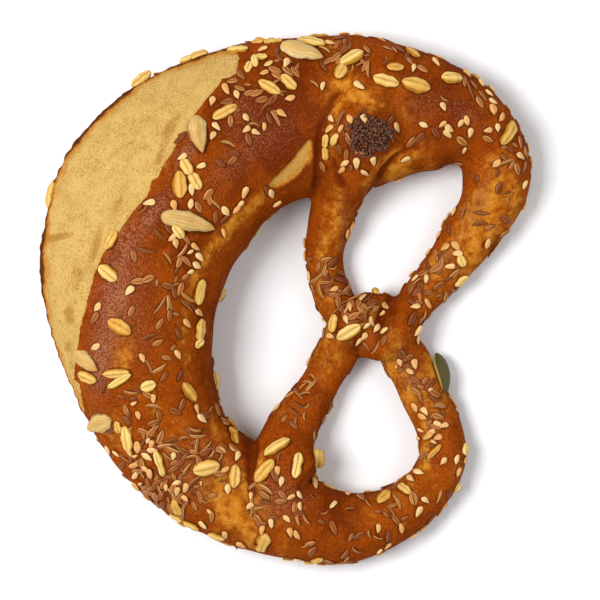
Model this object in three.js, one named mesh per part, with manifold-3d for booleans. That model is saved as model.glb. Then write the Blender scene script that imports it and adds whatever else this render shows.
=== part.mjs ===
// A seeded soft pretzel of the Swabian kind: a fat belly whose crust has burst open along its outer side,
// two loops that thin towards the middle, a full twist, and two arms whose ends lie pressed on the shoulders.
// It is one rope of dough, baked together wherever it touches, so it is one solid with three holes.
//
// Frame: millimetres, +Z up. The pretzel lies on its flat baked underside at Z = 0. +Y runs from the belly
// to the twist, +X is the width, and the origin is under the middle of its outline.
import * as THREE from "three";
import { mergeVertices } from "three/addons/utils/BufferGeometryUtils.js";
import Module from "manifold-3d";

// ---- the rope ------------------------------------------------------------------------------------------
// Stations along the rope, from the tip of the left arm to the tip of the right arm:
// [x, y, half width, half height, lift of the underside]. A lift below zero is dough that sagged onto the
// tray: the tray cuts it flat. In the twist and on the shoulders the lift carries one strand over another.
const LEFT_ARM = [
  [-57.0, 15.4, 8.6, 3.8, 19.2],
  [-51.0, 16.6, 9.7, 4.8, 20.8],
  [-44.5, 16.8, 9.6, 5.4, 20.2],
  [-38.0, 16.0, 8.7, 7.2, 13.6],
  [-32.0, 14.7, 7.5, 8.8, 5.2],
  [-25.5, 13.3, 6.3, 7.8, 1.0],
  [-18.0, 12.9, 5.8, 6.8, -0.8],
  [-10.0, 13.4, 5.3, 5.8, -1.0],
];
const LEFT_STRAND_OF_TWIST = [
  [-3.0, 16.2, 5.2, 5.1, -0.9],
  [3.6, 20.8, 5.2, 4.6, -0.8],
  [8.4, 26.2, 4.8, 4.6, 0.8],
  [9.6, 31.2, 4.5, 4.7, 4.2],
  [7.2, 36.2, 4.8, 4.8, 6.6],
  [1.0, 39.8, 5.4, 5.2, 2.8],
];
const LEFT_LOOP = [
  [-6.0, 43.2, 5.8, 5.8, -0.8],
  [-15.0, 48.6, 6.5, 6.4, -1.3],
  [-25.0, 53.4, 7.7, 7.4, -1.5],
  [-35.5, 56.4, 9.3, 8.8, -1.8],
  [-47.2, 54.8, 10.2, 10.1, -2.0],
  [-54.0, 46.6, 12.7, 11.8, -2.3],
  [-54.9, 35.0, 16.5, 13.6, -2.7],
];
const BELLY = [
  [-52.7, 20.6, 21.0, 14.8, -3.0],
  [-50.0, 5.5, 22.5, 15.4, -3.1],
  [-44.4, -9.4, 23.4, 17.6, -3.6],
  [-36.0, -22.2, 25.0, 19.4, -4.0],
  [-25.0, -32.2, 27.2, 20.2, -4.0],
  [-12.0, -38.2, 27.2, 20.2, -4.0],
  [2.0, -39.2, 25.6, 20.0, -4.0],
  [14.0, -37.2, 23.2, 19.6, -3.9],
  [25.5, -32.8, 20.6, 18.8, -3.8],
  [36.5, -26.8, 18.2, 17.3, -3.5],
  [47.4, -18.2, 16.3, 15.2, -3.0],
  [56.2, -5.6, 14.6, 12.9, -2.6],
];
const RIGHT_LOOP = [
  [60.6, 8.0, 13.3, 12.0, -2.4],
  [62.7, 20.0, 11.4, 11.2, -2.2],
  [62.8, 30.8, 10.5, 10.3, -2.1],
  [59.8, 40.6, 9.0, 9.1, -1.9],
  [53.0, 49.2, 7.8, 8.0, -1.6],
  [44.0, 54.8, 7.0, 7.2, -1.4],
  [34.0, 54.4, 6.5, 6.4, -1.3],
  [24.8, 49.6, 6.4, 5.9, -1.2],
];
const RIGHT_STRAND_OF_TWIST = [
  [17.0, 43.8, 6.0, 5.6, -1.0],
  [10.4, 40.2, 5.4, 5.0, -0.9],
  [4.6, 36.6, 4.9, 4.6, -0.8],
  [1.0, 31.4, 4.6, 4.7, 2.6],
  [3.2, 26.0, 5.0, 4.8, 6.4],
  [9.2, 22.0, 5.2, 5.0, 4.8],
];
const RIGHT_ARM = [
  [15.6, 20.2, 5.3, 5.4, 1.6],
  [22.5, 18.6, 5.7, 6.0, -0.4],
  [30.5, 15.8, 6.5, 6.9, -0.6],
  [37.5, 12.9, 7.3, 7.9, 0.6],
  [43.5, 11.7, 8.1, 7.6, 5.2],
  [49.5, 11.6, 8.4, 6.0, 11.0],
  [56.0, 11.8, 7.4, 5.0, 12.6],
];

const LEFT_LOOP_JOIN = LEFT_ARM.length + LEFT_STRAND_OF_TWIST.length + 2; // where the loops are cut, so
const RIGHT_LOOP_JOIN = LEFT_LOOP_JOIN + LEFT_LOOP.length + BELLY.length + RIGHT_LOOP.length - 4; // that no
const FIRST_BELLY_STATION = LEFT_LOOP_JOIN + LEFT_LOOP.length - 2; // piece of rope crosses itself
const STATIONS = [
  ...LEFT_ARM,
  ...LEFT_STRAND_OF_TWIST,
  ...LEFT_LOOP,
  ...BELLY,
  ...RIGHT_LOOP,
  ...RIGHT_STRAND_OF_TWIST,
  ...RIGHT_ARM,
];

// ---- the burst -----------------------------------------------------------------------------------------
// The crust has opened along the belly's outer side. Seen from above, its torn edge runs through these
// points [x, y]; below, the crumb ends at a lip that lies a little above the widest line of the belly.
const CRUST_EDGE = [
  [-58.0, -20.0],
  [-54.0, -22.8],
  [-48.0, -27.5],
  [-40.0, -30.0],
  [-28.0, -35.0],
  [-18.0, -39.0],
  [-8.0, -45.0],
  [2.0, -49.3],
  [14.0, -50.3],
  [25.0, -50.5],
  [35.0, -49.0],
  [44.0, -45.0],
  [50.5, -40.5],
];
const LIP_ANGLE = 5; // degrees up from the widest line
const CRUST_THICKNESS = 1.0; // the step down from the crust to the crumb
const CRUMB_FLATNESS = 0.45; // 0: the crumb follows the round section, 1: it is flat from edge to lip
const WHOLE_CRUST_ANGLE = 75; // where the rings' edge points lie beyond the ends of the burst
const BURST_FADE = 2.5; // stations over which they move there

// ---- mesh ----------------------------------------------------------------------------------------------
const RING_STEP = 3.3; // length of rope between two rings
const AROUND = 28; // points in a ring
const CRUMB_POINTS = 7; // of them between the crust's edge and the lip
const ABOVE_POINTS = 3; // of them between the crust's edge and the angle above which no point moves
const STILL_ANGLE = 110;
const STEP_ANGLE = 3; // degrees of the section that the step down to the crumb takes
const TIP_RINGS = 4; // rings that round off an arm's tip
const TIP_LENGTH = 0.8; // of the tip's half width

// A smooth value along the rope, from one number of each station. t counts stations.
function track(column) {
  const curve = new THREE.SplineCurve(STATIONS.map((station, i) => new THREE.Vector2(i, station[column])));
  return (t) => curve.getPoint(t / (STATIONS.length - 1)).y;
}
const [alongX, alongY, halfWidth, halfHeight, lift] = [0, 1, 2, 3, 4].map(track);

// The centre of the rope in the plan, and the direction across it, to the outer side.
function centre(t) {
  return new THREE.Vector2(alongX(t), alongY(t));
}
function across(t) {
  const reach = 0.05;
  const from = centre(Math.max(t - reach, 0));
  const heading = centre(Math.min(t + reach, STATIONS.length - 1)).sub(from).normalize();
  return new THREE.Vector2(heading.y, -heading.x);
}

// The crust's edge as [t, degrees up the section], from its points in the plan.
const EDGE_ANGLES = CRUST_EDGE.map(([x, y]) => {
  const point = new THREE.Vector2(x, y);
  let nearest = FIRST_BELLY_STATION;
  for (let t = nearest; t < FIRST_BELLY_STATION + BELLY.length; t += 0.02)
    if (point.distanceTo(centre(t)) < point.distanceTo(centre(nearest))) nearest = t;
  const outwards = point.sub(centre(nearest)).dot(across(nearest));
  const degrees = THREE.MathUtils.radToDeg(Math.acos(Math.min(outwards / halfWidth(nearest), 1)));
  return [nearest, Math.max(degrees, LIP_ANGLE + 2 * STEP_ANGLE)];
});
const [BURST_START, START_ANGLE] = EDGE_ANGLES[0];
const [BURST_END, END_ANGLE] = EDGE_ANGLES[EDGE_ANGLES.length - 1];

function edgeAngle(t) {
  if (t <= BURST_START) return easing(START_ANGLE, WHOLE_CRUST_ANGLE, (BURST_START - t) / BURST_FADE);
  if (t >= BURST_END) return easing(END_ANGLE, WHOLE_CRUST_ANGLE, (t - BURST_END) / BURST_FADE);
  const next = EDGE_ANGLES.findIndex(([at]) => at > t);
  const [[a, from], [b, to]] = [EDGE_ANGLES[next - 1], EDGE_ANGLES[next]];
  return from + ((to - from) * (t - a)) / (b - a);
}
function easing(from, to, share) {
  return from + (to - from) * THREE.MathUtils.smoothstep(share, 0, 1);
}

// The angles of a ring's points: the first lies on the lip, the last of the crumb's on the crust's edge.
function ringAngles(t) {
  const edge = edgeAngle(t);
  const angles = [LIP_ANGLE];
  for (let i = 0; i < CRUMB_POINTS; i++)
    angles.push(THREE.MathUtils.mapLinear(i, 0, CRUMB_POINTS - 1, LIP_ANGLE + STEP_ANGLE, edge - STEP_ANGLE));
  for (let i = 0; i < ABOVE_POINTS; i++)
    angles.push(THREE.MathUtils.mapLinear(i, 0, ABOVE_POINTS, edge, STILL_ANGLE));
  const rest = AROUND - angles.length;
  for (let i = 0; i < rest; i++)
    angles.push(THREE.MathUtils.mapLinear(i, 0, rest, STILL_ANGLE, LIP_ANGLE + 360));
  return angles;
}

// The ring of the skin at t. shrink makes it smaller towards an arm's tip.
function ring(t, shrink = 1) {
  const open = t > BURST_START && t < BURST_END;
  const edge = edgeAngle(t);
  const size = [halfWidth(t) * shrink, halfHeight(t) * shrink];
  const onSection = (degrees, drop) => {
    const angle = THREE.MathUtils.degToRad(degrees);
    return new THREE.Vector2((size[0] - drop) * Math.cos(angle), (size[1] - drop) * Math.sin(angle));
  };
  const [lip, rim] = [onSection(LIP_ANGLE, 0), onSection(edge, 0)];
  return ringAngles(t).map((degrees, i) => {
    const crumb = open && i > 0 && i <= CRUMB_POINTS;
    const p = onSection(degrees, crumb ? CRUST_THICKNESS : 0);
    if (crumb) {
      const chord = lip.clone().lerp(rim, (degrees - LIP_ANGLE) / (edge - LIP_ANGLE));
      p.lerp(chord, CRUMB_FLATNESS * Math.sin((Math.PI * (degrees - LIP_ANGLE)) / (edge - LIP_ANGLE)));
    }
    const plan = centre(t).addScaledVector(across(t), p.x);
    return new THREE.Vector3(plan.x, plan.y, lift(t) + halfHeight(t) + p.y);
  });
}

// A closed mesh through rings, with a flat end at both.
function sweep(rings) {
  const middle = (points) =>
    points.reduce((sum, p) => sum.add(p), new THREE.Vector3()).divideScalar(points.length);
  const points = [...rings.flat(), middle(rings[0]), middle(rings[rings.length - 1])];
  const [startHub, endHub] = [points.length - 2, points.length - 1];
  const lastRing = (rings.length - 1) * AROUND;
  const index = [];
  for (let side = 0; side < AROUND; side++) {
    const next = (side + 1) % AROUND;
    index.push(startHub, side, next, endHub, lastRing + next, lastRing + side);
    for (let r = 0; r < lastRing; r += AROUND) {
      index.push(r + side, r + AROUND + side, r + AROUND + next);
      index.push(r + side, r + AROUND + next, r + next);
    }
  }
  const geometry = new THREE.BufferGeometry().setFromPoints(points);
  geometry.setIndex(index);
  return geometry;
}

// The positions of the rings: even steps along the rope, and one exactly at each join.
function ringPositions(from, to) {
  const steps = [];
  let length = 0;
  for (let t = from; t < to; t += 0.01) {
    steps.push([length, t]);
    length += centre(t + 0.01).distanceTo(centre(t));
  }
  const rings = Math.round(length / RING_STEP);
  return Array.from({ length: rings + 1 }, (_, i) => {
    const wanted = (length * i) / rings;
    return i === rings ? to : steps.findLast(([at]) => at <= wanted)[1];
  });
}

// The rounded tip of an arm, from its last full ring outwards.
function tipRings(t) {
  const sign = t === 0 ? -1 : 1;
  const outwards = across(t);
  const ahead = new THREE.Vector3(-outwards.y, outwards.x, 0).multiplyScalar(sign);
  return Array.from({ length: TIP_RINGS }, (_, i) => {
    const angle = (Math.PI / 2) * ((i + 1) / (TIP_RINGS + 0.3));
    const reach = ahead.clone().multiplyScalar(TIP_LENGTH * halfWidth(t) * Math.sin(angle));
    return ring(t, Math.cos(angle)).map((p) => p.add(reach));
  });
}

// ---- joining -------------------------------------------------------------------------------------------
const wasm = await Module();
wasm.setup();

function solidOf(geometry) {
  geometry.deleteAttribute("normal");
  geometry.deleteAttribute("uv");
  const closed = mergeVertices(geometry);
  const solid = new wasm.Manifold(
    new wasm.Mesh({
      numProp: 3,
      vertProperties: new Float32Array(closed.getAttribute("position").array),
      triVerts: new Uint32Array(closed.index.array),
    }),
  );
  if (solid.volume() > 0) return solid;
  throw new Error("a piece of rope is inside out");
}

function geometryOf(solid) {
  const mesh = solid.getMesh();
  const geometry = new THREE.BufferGeometry();
  geometry.setAttribute("position", new THREE.BufferAttribute(mesh.vertProperties, 3));
  geometry.setIndex(new THREE.BufferAttribute(mesh.triVerts, 1));
  geometry.computeVertexNormals();
  return geometry;
}

const last = STATIONS.length - 1;
const rings = (from, to) => ringPositions(from, to).map((t) => ring(t));
const leftArm = sweep([...tipRings(0).reverse(), ...rings(0, LEFT_LOOP_JOIN)]);
const body = sweep(rings(LEFT_LOOP_JOIN, RIGHT_LOOP_JOIN));
const rightArm = sweep([...rings(RIGHT_LOOP_JOIN, last), ...tipRings(last)]);
const joined = solidOf(leftArm).add(solidOf(body)).add(solidOf(rightArm));

// The tray cuts the underside flat.
const TRAY = { width: 400, thickness: 20 };
const tray = new THREE.BoxGeometry(TRAY.width, TRAY.width, TRAY.thickness);
tray.translate(0, 0, -TRAY.thickness / 2);
const baked = geometryOf(joined.subtract(solidOf(tray)));
baked.computeBoundingBox();
const middleOfOutline = baked.boundingBox.getCenter(new THREE.Vector3());
baked.translate(-middleOfOutline.x, -middleOfOutline.y, 0);

const pretzel = new THREE.Mesh(
  baked,
  new THREE.MeshStandardMaterial({ color: 0x8f3d12, roughness: 0.45, metalness: 0 }),
);
pretzel.name = "pretzel";

const group = new THREE.Group();
group.name = "soft_pretzel";
group.add(pretzel);

export default group;
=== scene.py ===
# %% [markdown]
# # A soft pretzel, burst open along its belly
#
# The baked dough is one solid. The frame holds it as a plain faceted model, and this lesson
# builds what the eye wants around it: a glossy lye crust, the pale crumb of the burst, and the
# seeds and oat flakes that were strewn on before baking. Lengths are worked out in millimetres,
# because a seed is easier to think of as 3 mm than as 0.003 m, and are turned into Blender's
# metres only when a mesh is made.

# %% Load the frame
import math

import bmesh
import bpy
import numpy as np
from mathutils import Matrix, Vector, kdtree, noise
from mathutils.bvhtree import BVHTree


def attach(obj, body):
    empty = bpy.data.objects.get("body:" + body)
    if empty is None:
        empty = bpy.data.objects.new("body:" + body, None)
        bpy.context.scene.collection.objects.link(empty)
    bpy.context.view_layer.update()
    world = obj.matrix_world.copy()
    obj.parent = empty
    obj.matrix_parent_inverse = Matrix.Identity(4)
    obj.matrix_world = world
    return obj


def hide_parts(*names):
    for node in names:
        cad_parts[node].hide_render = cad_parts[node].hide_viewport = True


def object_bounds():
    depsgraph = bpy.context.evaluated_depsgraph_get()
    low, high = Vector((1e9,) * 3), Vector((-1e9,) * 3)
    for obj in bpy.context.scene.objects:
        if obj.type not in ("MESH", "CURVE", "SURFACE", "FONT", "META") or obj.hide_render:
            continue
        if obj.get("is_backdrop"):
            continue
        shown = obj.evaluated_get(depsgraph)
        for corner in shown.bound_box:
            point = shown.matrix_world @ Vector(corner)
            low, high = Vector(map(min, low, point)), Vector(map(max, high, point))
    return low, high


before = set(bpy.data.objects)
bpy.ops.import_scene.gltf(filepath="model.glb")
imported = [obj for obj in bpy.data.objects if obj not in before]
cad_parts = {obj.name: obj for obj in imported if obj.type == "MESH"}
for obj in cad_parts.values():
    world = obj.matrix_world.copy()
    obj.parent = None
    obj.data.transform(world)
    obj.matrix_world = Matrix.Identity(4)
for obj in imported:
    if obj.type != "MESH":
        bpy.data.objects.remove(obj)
cad_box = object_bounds()
MM = 0.001
print("dough solid, mm:", [round(v / MM, 1) for v in (cad_box[1] - cad_box[0])])

# %% [markdown]
# ## Camera, table and light
#
# The pretzel is seen from straight above, turned so that its belly points to the left and a
# little up. A long lens keeps it free of distortion, as a product photographer would. Every plan
# place in this lesson is written as the camera sees it, on a level a little above the table:
# the height of a strand then moves nothing sideways when a seed is laid on it.

# %% Camera
CAMERA_HEIGHT = 1000.0
READING_LEVEL = 12.0
CENTRE = np.array([2.2, 8.5])
VIEW_WIDTH = 168.0
TURN = math.radians(100)
SENSOR = 36.0

camera = bpy.data.objects.new("camera", bpy.data.cameras.new("camera"))
bpy.context.scene.collection.objects.link(camera)
camera.data.sensor_width = SENSOR
camera.data.lens = SENSOR * (CAMERA_HEIGHT - READING_LEVEL) / VIEW_WIDTH
camera.location = (CENTRE[0] * MM, CENTRE[1] * MM, CAMERA_HEIGHT * MM)
camera.rotation_euler = (0, 0, TURN)
bpy.context.scene.camera = camera
print("lens, mm:", round(camera.data.lens, 1))


def as_seen(points):
    """Where points in mm show on the reading level, seen from the camera."""
    scale = (CAMERA_HEIGHT - READING_LEVEL) / (CAMERA_HEIGHT - points[:, 2])
    return CENTRE + (points[:, :2] - CENTRE) * scale[:, None]


# %% [markdown]
# The light is that of a tent: an even pale surround, one broad lamp above and a weaker one from
# the other side, almost as high. The standard view transform shows colours as they are set, with
# no film-like curve over them.

# %% Table and light
def studio_plane(name, size, height):
    """A flat square on a given level, in metres."""
    half = size / 2
    mesh = bpy.data.meshes.new(name)
    corners = [(-half, -half, height), (half, -half, height), (half, half, height), (-half, half, height)]
    mesh.from_pydata(corners, [], [(0, 1, 2, 3)])
    made = bpy.data.objects.new(name, mesh)
    bpy.context.scene.collection.objects.link(made)
    return made


def lamp(name, place, size, power, target=(0.0, 0.0, 0.0)):
    """A square soft lamp, in metres and watts, facing a target."""
    data = bpy.data.lights.new(name, "AREA")
    data.size = size
    data.energy = power
    made = bpy.data.objects.new(name, data)
    made.location = place
    made.rotation_euler = (Vector(target) - Vector(place)).to_track_quat("-Z", "Y").to_euler()
    bpy.context.scene.collection.objects.link(made)
    return made


table = studio_plane("table", 4.0, 0.0)
table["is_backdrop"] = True
lamp("lamp_above", (0.05, -0.5, 0.9), 0.45, 10.5)
lamp("lamp_side", (-0.4, 0.7, 0.8), 0.6, 3.4)
bpy.context.scene.view_settings.view_transform = "Standard"

# %% [markdown]
# ## A small language for materials
#
# Node trees are easier to read as sums. `Value` wraps the output of a node and overloads the
# arithmetic, so that `1 - mask * 0.5` adds the two Math nodes it stands for. `Recipe` owns one
# material and makes any other node from its type, its settings and the values of its sockets.

# %% The wrapper
class Value:
    """An output socket that can be added, multiplied and compared."""

    def __init__(self, recipe, socket):
        self.recipe = recipe
        self.socket = socket

    def math(self, operation, first, second=0.0):
        return self.recipe.node("ShaderNodeMath", {"operation": operation}, {0: first, 1: second})

    def __add__(self, other):
        return self.math("ADD", self, other)

    def __radd__(self, other):
        return self.math("ADD", other, self)

    def __sub__(self, other):
        return self.math("SUBTRACT", self, other)

    def __rsub__(self, other):
        return self.math("SUBTRACT", other, self)

    def __mul__(self, other):
        return self.math("MULTIPLY", self, other)

    def __rmul__(self, other):
        return self.math("MULTIPLY", other, self)

    def __truediv__(self, other):
        return self.math("DIVIDE", self, other)

    def __pow__(self, other):
        return self.math("POWER", self, other)

    def size(self):
        """The number without its sign."""
        return self.math("ABSOLUTE", self)

    def step(self, low, high):
        """0 below low, 1 above high and a soft ramp between."""
        settings = {"interpolation_type": "SMOOTHSTEP"}
        return self.recipe.node("ShaderNodeMapRange", settings, {0: self, 1: low, 2: high})


class Recipe:
    """One material, and the nodes that make it."""

    def __init__(self, name):
        self.material = bpy.data.materials.new(name)
        self.material.use_nodes = True
        self.tree = self.material.node_tree
        self.tree.nodes.clear()
        self.place = self.node("ShaderNodeTexCoord", {}, {}, "Object")

    def node(self, kind, settings, sockets, output=0):
        """A node of any type: its settings come first, then what goes into its sockets."""
        made = self.tree.nodes.new(kind)
        for name, value in settings.items():
            if name == "stops":
                self.set_stops(made.color_ramp, value)
            else:
                setattr(made, name, value)
        for name, value in sockets.items():
            if isinstance(value, Value):
                self.tree.links.new(value.socket, made.inputs[name])
            else:
                made.inputs[name].default_value = value
        return Value(self, made.outputs[output]) if made.outputs else made

    @staticmethod
    def set_stops(ramp, stops):
        while len(ramp.elements) < len(stops):
            ramp.elements.new(0.5)
        for element, (position, colour) in zip(ramp.elements, stops):
            element.position = position
            element.color = (*colour, 1.0)

    def attribute(self, name):
        """A number stored at each vertex of the mesh."""
        return self.node("ShaderNodeAttribute", {"attribute_name": name}, {}, "Fac")

    def grain(self, size_mm, detail=3.0, roughness=0.55):
        """Cloudy noise from 0 to 1 with features of a given size."""
        sockets = {
            "Vector": self.place,
            "Scale": 1 / (size_mm * MM),
            "Detail": detail,
            "Roughness": roughness,
        }
        return self.node("ShaderNodeTexNoise", {}, sockets, "Fac")

    def fibres(self, along, across, shift, scale):
        """Noise drawn out along a seed: it changes slowly along and fast across."""
        place = self.node("ShaderNodeCombineXYZ", {}, {0: along, 1: across, 2: shift})
        sockets = {"Vector": place, "Scale": scale, "Detail": 3.0, "Roughness": 0.6}
        return self.node("ShaderNodeTexNoise", {}, sockets, "Fac")

    def ramp(self, factor, stops):
        """A colour looked up between stops, each a position and a colour."""
        return self.node("ShaderNodeValToRGB", {"stops": stops}, {"Fac": factor})

    def cells(self, size_mm, feature="F1"):
        """Distance to the nearest of many scattered points."""
        sockets = {"Vector": self.place, "Scale": 1 / (size_mm * MM)}
        return self.node("ShaderNodeTexVoronoi", {"feature": feature}, sockets, "Distance")

    def blend(self, factor, first, second, mode="MIX"):
        """Colours mixed by a factor from 0 to 1."""
        first, second = (c if isinstance(c, Value) else (*c, 1.0) for c in (first, second))
        settings = {"data_type": "RGBA", "blend_type": mode}
        return self.node("ShaderNodeMix", settings, {0: factor, 6: first, 7: second}, 2)

    def bump(self, height, depth_mm, normal=None):
        """Turns a height from 0 to 1 into a tilt of the surface."""
        sockets = {"Height": height, "Distance": depth_mm * MM, "Strength": 1.0}
        if normal:
            sockets["Normal"] = normal
        return self.node("ShaderNodeBump", {}, sockets)

    def finish(self, sockets):
        """Ends the recipe with a principled surface."""
        surface = self.node("ShaderNodeBsdfPrincipled", {}, sockets)
        self.node("ShaderNodeOutputMaterial", {}, {"Surface": surface})
        return self.material


# %% [markdown]
# The table is paper: almost white, with a faint tooth, and it must not look at the pretzel's
# colours. The surround is a plain pale grey sky, a little dimmer than the lamps.

# %% Paper and surround
paper = Recipe("paper")
tooth = paper.grain(1.5)
paper_colour = paper.blend(tooth, (0.86, 0.86, 0.86), (0.9, 0.9, 0.9))
paper_normal = paper.bump(tooth, 0.02)
table.data.materials.append(
    paper.finish({"Base Color": paper_colour, "Roughness": 0.9, "Normal": paper_normal})
)

world = bpy.data.worlds.new("surround")
world.use_nodes = True
world.node_tree.nodes["Background"].inputs["Color"].default_value = (0.95, 0.97, 1.0, 1.0)
world.node_tree.nodes["Background"].inputs["Strength"].default_value = 0.45
bpy.context.scene.world = world
print("studio lamps:", len(bpy.data.lights))

# %% [markdown]
# ## The dough
#
# The solid in the frame is faceted, with sides of a few millimetres. Baked dough has none: its
# skin is drawn tight by the gas inside. The copy is remeshed into even small squares, about as
# wide as a poppy grain, and then relaxed. Relaxing alone would thin the strands, so the shape
# that it takes away is smoothed too and given back, which leaves out only the facets.

# %% Remesh and relax
VOXEL = 0.74
RELAX_ROUNDS = 34
REGAIN_ROUNDS = 40


def rise(values, low, high):
    """0 below low, 1 above high, smooth between."""
    share = np.clip((values - low) / (high - low), 0, 1)
    return share * share * (3 - 2 * share)


def directions(mesh):
    """Which way the surface faces at each point."""
    normals = np.empty(len(mesh.vertices) * 3)
    mesh.vertices.foreach_get("normal", normals)
    return normals.reshape(-1, 3)


def voxel_copy(source, size):
    """A copy of a mesh made of even squares."""
    copy = source.copy()
    copy.data = source.data.copy()
    copy.parent = None
    bpy.context.scene.collection.objects.link(copy)
    remesh = copy.modifiers.new("even", "REMESH")
    remesh.mode = "VOXEL"
    remesh.voxel_size = size * MM
    graph = bpy.context.evaluated_depsgraph_get()
    mesh = bpy.data.meshes.new_from_object(copy.evaluated_get(graph))
    bpy.data.objects.remove(copy)
    return mesh


def read_mesh(mesh):
    """Points in mm, and the pairs of points that edges join."""
    points = np.empty(len(mesh.vertices) * 3)
    mesh.vertices.foreach_get("co", points)
    edges = np.empty(len(mesh.edges) * 2, int)
    mesh.edges.foreach_get("vertices", edges)
    return points.reshape(-1, 3) / MM, edges.reshape(-1, 2)


def relax(values, edges, rounds):
    """Moves each value half way to the mean of its neighbours, some rounds over."""
    values = values.copy()
    count = len(values)
    near = np.bincount(edges.ravel(), minlength=count).astype(float)[:, None]
    for _ in range(rounds):
        total = np.zeros_like(values)
        for k in range(values.shape[1]):
            total[:, k] += np.bincount(edges[:, 0], values[edges[:, 1], k], count)
            total[:, k] += np.bincount(edges[:, 1], values[edges[:, 0], k], count)
        values += 0.5 * (total / near - values)
    return values


def oval_share(seen, ovals):
    """How much each plan place lies in one of some soft ovals: x, y, half length, half width."""
    total = np.zeros(len(seen))
    for x, y, long, wide in ovals:
        total += np.exp(-(((seen[:, 0] - x) / long) ** 2) - ((seen[:, 1] - y) / wide) ** 2)
    return np.clip(total, 0, 1)


def write_points(mesh, points):
    mesh.vertices.foreach_set("co", (points * MM).ravel())
    mesh.update()


dough_mesh = voxel_copy(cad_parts["pretzel"], VOXEL)
raw, links = read_mesh(dough_mesh)
smooth = relax(raw, links, RELAX_ROUNDS)
smooth += relax(raw - smooth, links, REGAIN_ROUNDS)
smooth[:, 2] = np.maximum(smooth[:, 2], 0.0)
write_points(dough_mesh, smooth)
print("dough points:", len(smooth), "largest move, mm:", round(float(abs(smooth - raw).max()), 2))

# %% [markdown]
# Where one strand swells into the next, as it does on the lower side of the twist, the two have
# baked into one. There the copy is relaxed much further, which melts the step away, and the
# thickness that this costs is given back by a push outwards.

# %% Melt strands together
MELTED = [(11, 38, 5.0, 4.5), (7, 41, 4.5, 3.5)]
MELT_ROUNDS = 70
MELT_PUSH = 1.1

upper = rise(smooth[:, 2], 5.0, 9.0)
melt = (oval_share(as_seen(smooth), MELTED) * upper)[:, None]
smooth += melt * (relax(smooth, links, MELT_ROUNDS) - smooth)
write_points(dough_mesh, smooth)
smooth += MELT_PUSH * melt * directions(dough_mesh)
write_points(dough_mesh, smooth)

# %% [markdown]
# No strand is as even as the solid: rolled by hand, it is fuller here and slimmer there. Such
# places are soft spots on the plan that push the flanks sideways. A flank faces sideways and
# the top faces up, so moving each point by the level part of its direction leaves the height.

# %% Fuller and slimmer places
FULLER = [
    # x, y, radius, push in mm; a negative push is a slimmer place
    (41, -49, 9, 0.7), (54, -37, 9, 1.1), (63, -26, 9, 0.8), (69, -15, 8, 0.8), (73, 0, 9, 0.5),
    (74, 15, 9, 0.6), (73, 32, 9, 0.7), (-13, -8, 9, 1.3), (2, -14, 9, 1.2), (13, -14, 8, 0.7),
    (15, 26, 4.5, 1.8), (15, 35, 5, 2.2), (25, 43, 6, 0.7), (-41, 66, 8, 0.9), (-23, 20, 7, 0.6),
    (-24, 44, 7, 0.7), (3, 13, 5, 0.7), (37, 62, 9, 0.7), (19, 24, 5, 0.6), (47, -45, 6, 0.3),
    (-4, 34, 5, 0.5), (-71, -4, 12, -0.9), (-62, 55, 10, -0.8), (-8, -65, 8, -0.6), (-36, 30, 8, -0.7),
    (-35, 47, 6, -1), (24, 12, 8, -0.9), (10, 16, 5, -0.7), (39, -4, 7, -0.8), (37, 48, 6, -1),
    (52, 32, 8, -0.6), (47, 43, 7, -0.9), (4, 44, 6, -1), (-40, -56, 8, -0.4), (48.3, 19.8, 3.2, 2.3),
    (-40, 41, 3.5, 0.7), (-27.5, 45, 3.5, 0.4), (68, -18, 6, 0.4), (34.8, -7, 5, -0.5),
    (7, 15.5, 3, 0.6), (57.7, -33.8, 4, 0.4), (42.5, 2.5, 3, 0.5), (16, 33, 3, 0.5), (35, 48, 4, 0.6),
    (52, 29, 4, -0.4), (10, 46.5, 3.5, 0.6), (-7, -17, 4, 0.4), (-41.7, 46, 2.5, -0.4),
]

wide_of = np.zeros(len(smooth))
for x, y, radius, amount in FULLER:
    reach = np.hypot(*(as_seen(smooth) - (x, y)).T)
    wide_of += amount * np.exp(-((reach / radius) ** 2))
smooth[:, :2] += wide_of[:, None] * directions(dough_mesh)[:, :2]
write_points(dough_mesh, smooth)
print("flanks moved by", round(float(wide_of.min()), 2), "to", round(float(wide_of.max()), 2), "mm")

# %% [markdown]
# ## Where the dough burst
#
# In the oven the fat belly grew faster than its skin and tore along its outer side. Above the
# tear the crust ends in a crisp edge; below it the crumb bulges down to a scorched lip at the
# widest line of the flank. Both lines are written as a baker would trace them on the loaf, and
# a signed distance to them tells every point whether it is crumb or crust. A distance works
# better than a painted mask: the shader can cut it as sharply as it wants.

# %% Lines on the loaf
SPLIT_EDGE = [
    (-66, -18.5), (-62.5, -21), (-61.5, -20), (-57, -20), (-55.8, -21.5), (-55, -23.5), (-52.5, -24.8),
    (-50, -26.2), (-48, -27.5), (-45, -29), (-42.5, -30), (-39.5, -30.3), (-37.5, -33), (-35, -33),
    (-32.5, -33.8), (-30, -34.8), (-27.5, -36), (-25, -36.5), (-23, -38.3), (-21, -38.2), (-19, -38.5),
    (-17, -40), (-15, -41.3), (-12.5, -42.6), (-10, -44), (-7.5, -44.7), (-5, -45), (-2.5, -47),
    (0, -48.3), (2.5, -48.8), (5, -49.3), (10, -49.8), (20, -50.5), (25, -50.5), (31, -50.2),
    (35, -49.5), (36, -48), (40, -46.6), (46, -44.3), (52, -39),
]
LIP_STATIONS = [-64, -56, -45, -30, -15, 0, 15, 30, 42, 50]
LIP_HEIGHTS = [12.0, 13.0, 15.2, 16.6, 17.0, 16.8, 16.4, 15.8, 14.6, 13.6]
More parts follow.
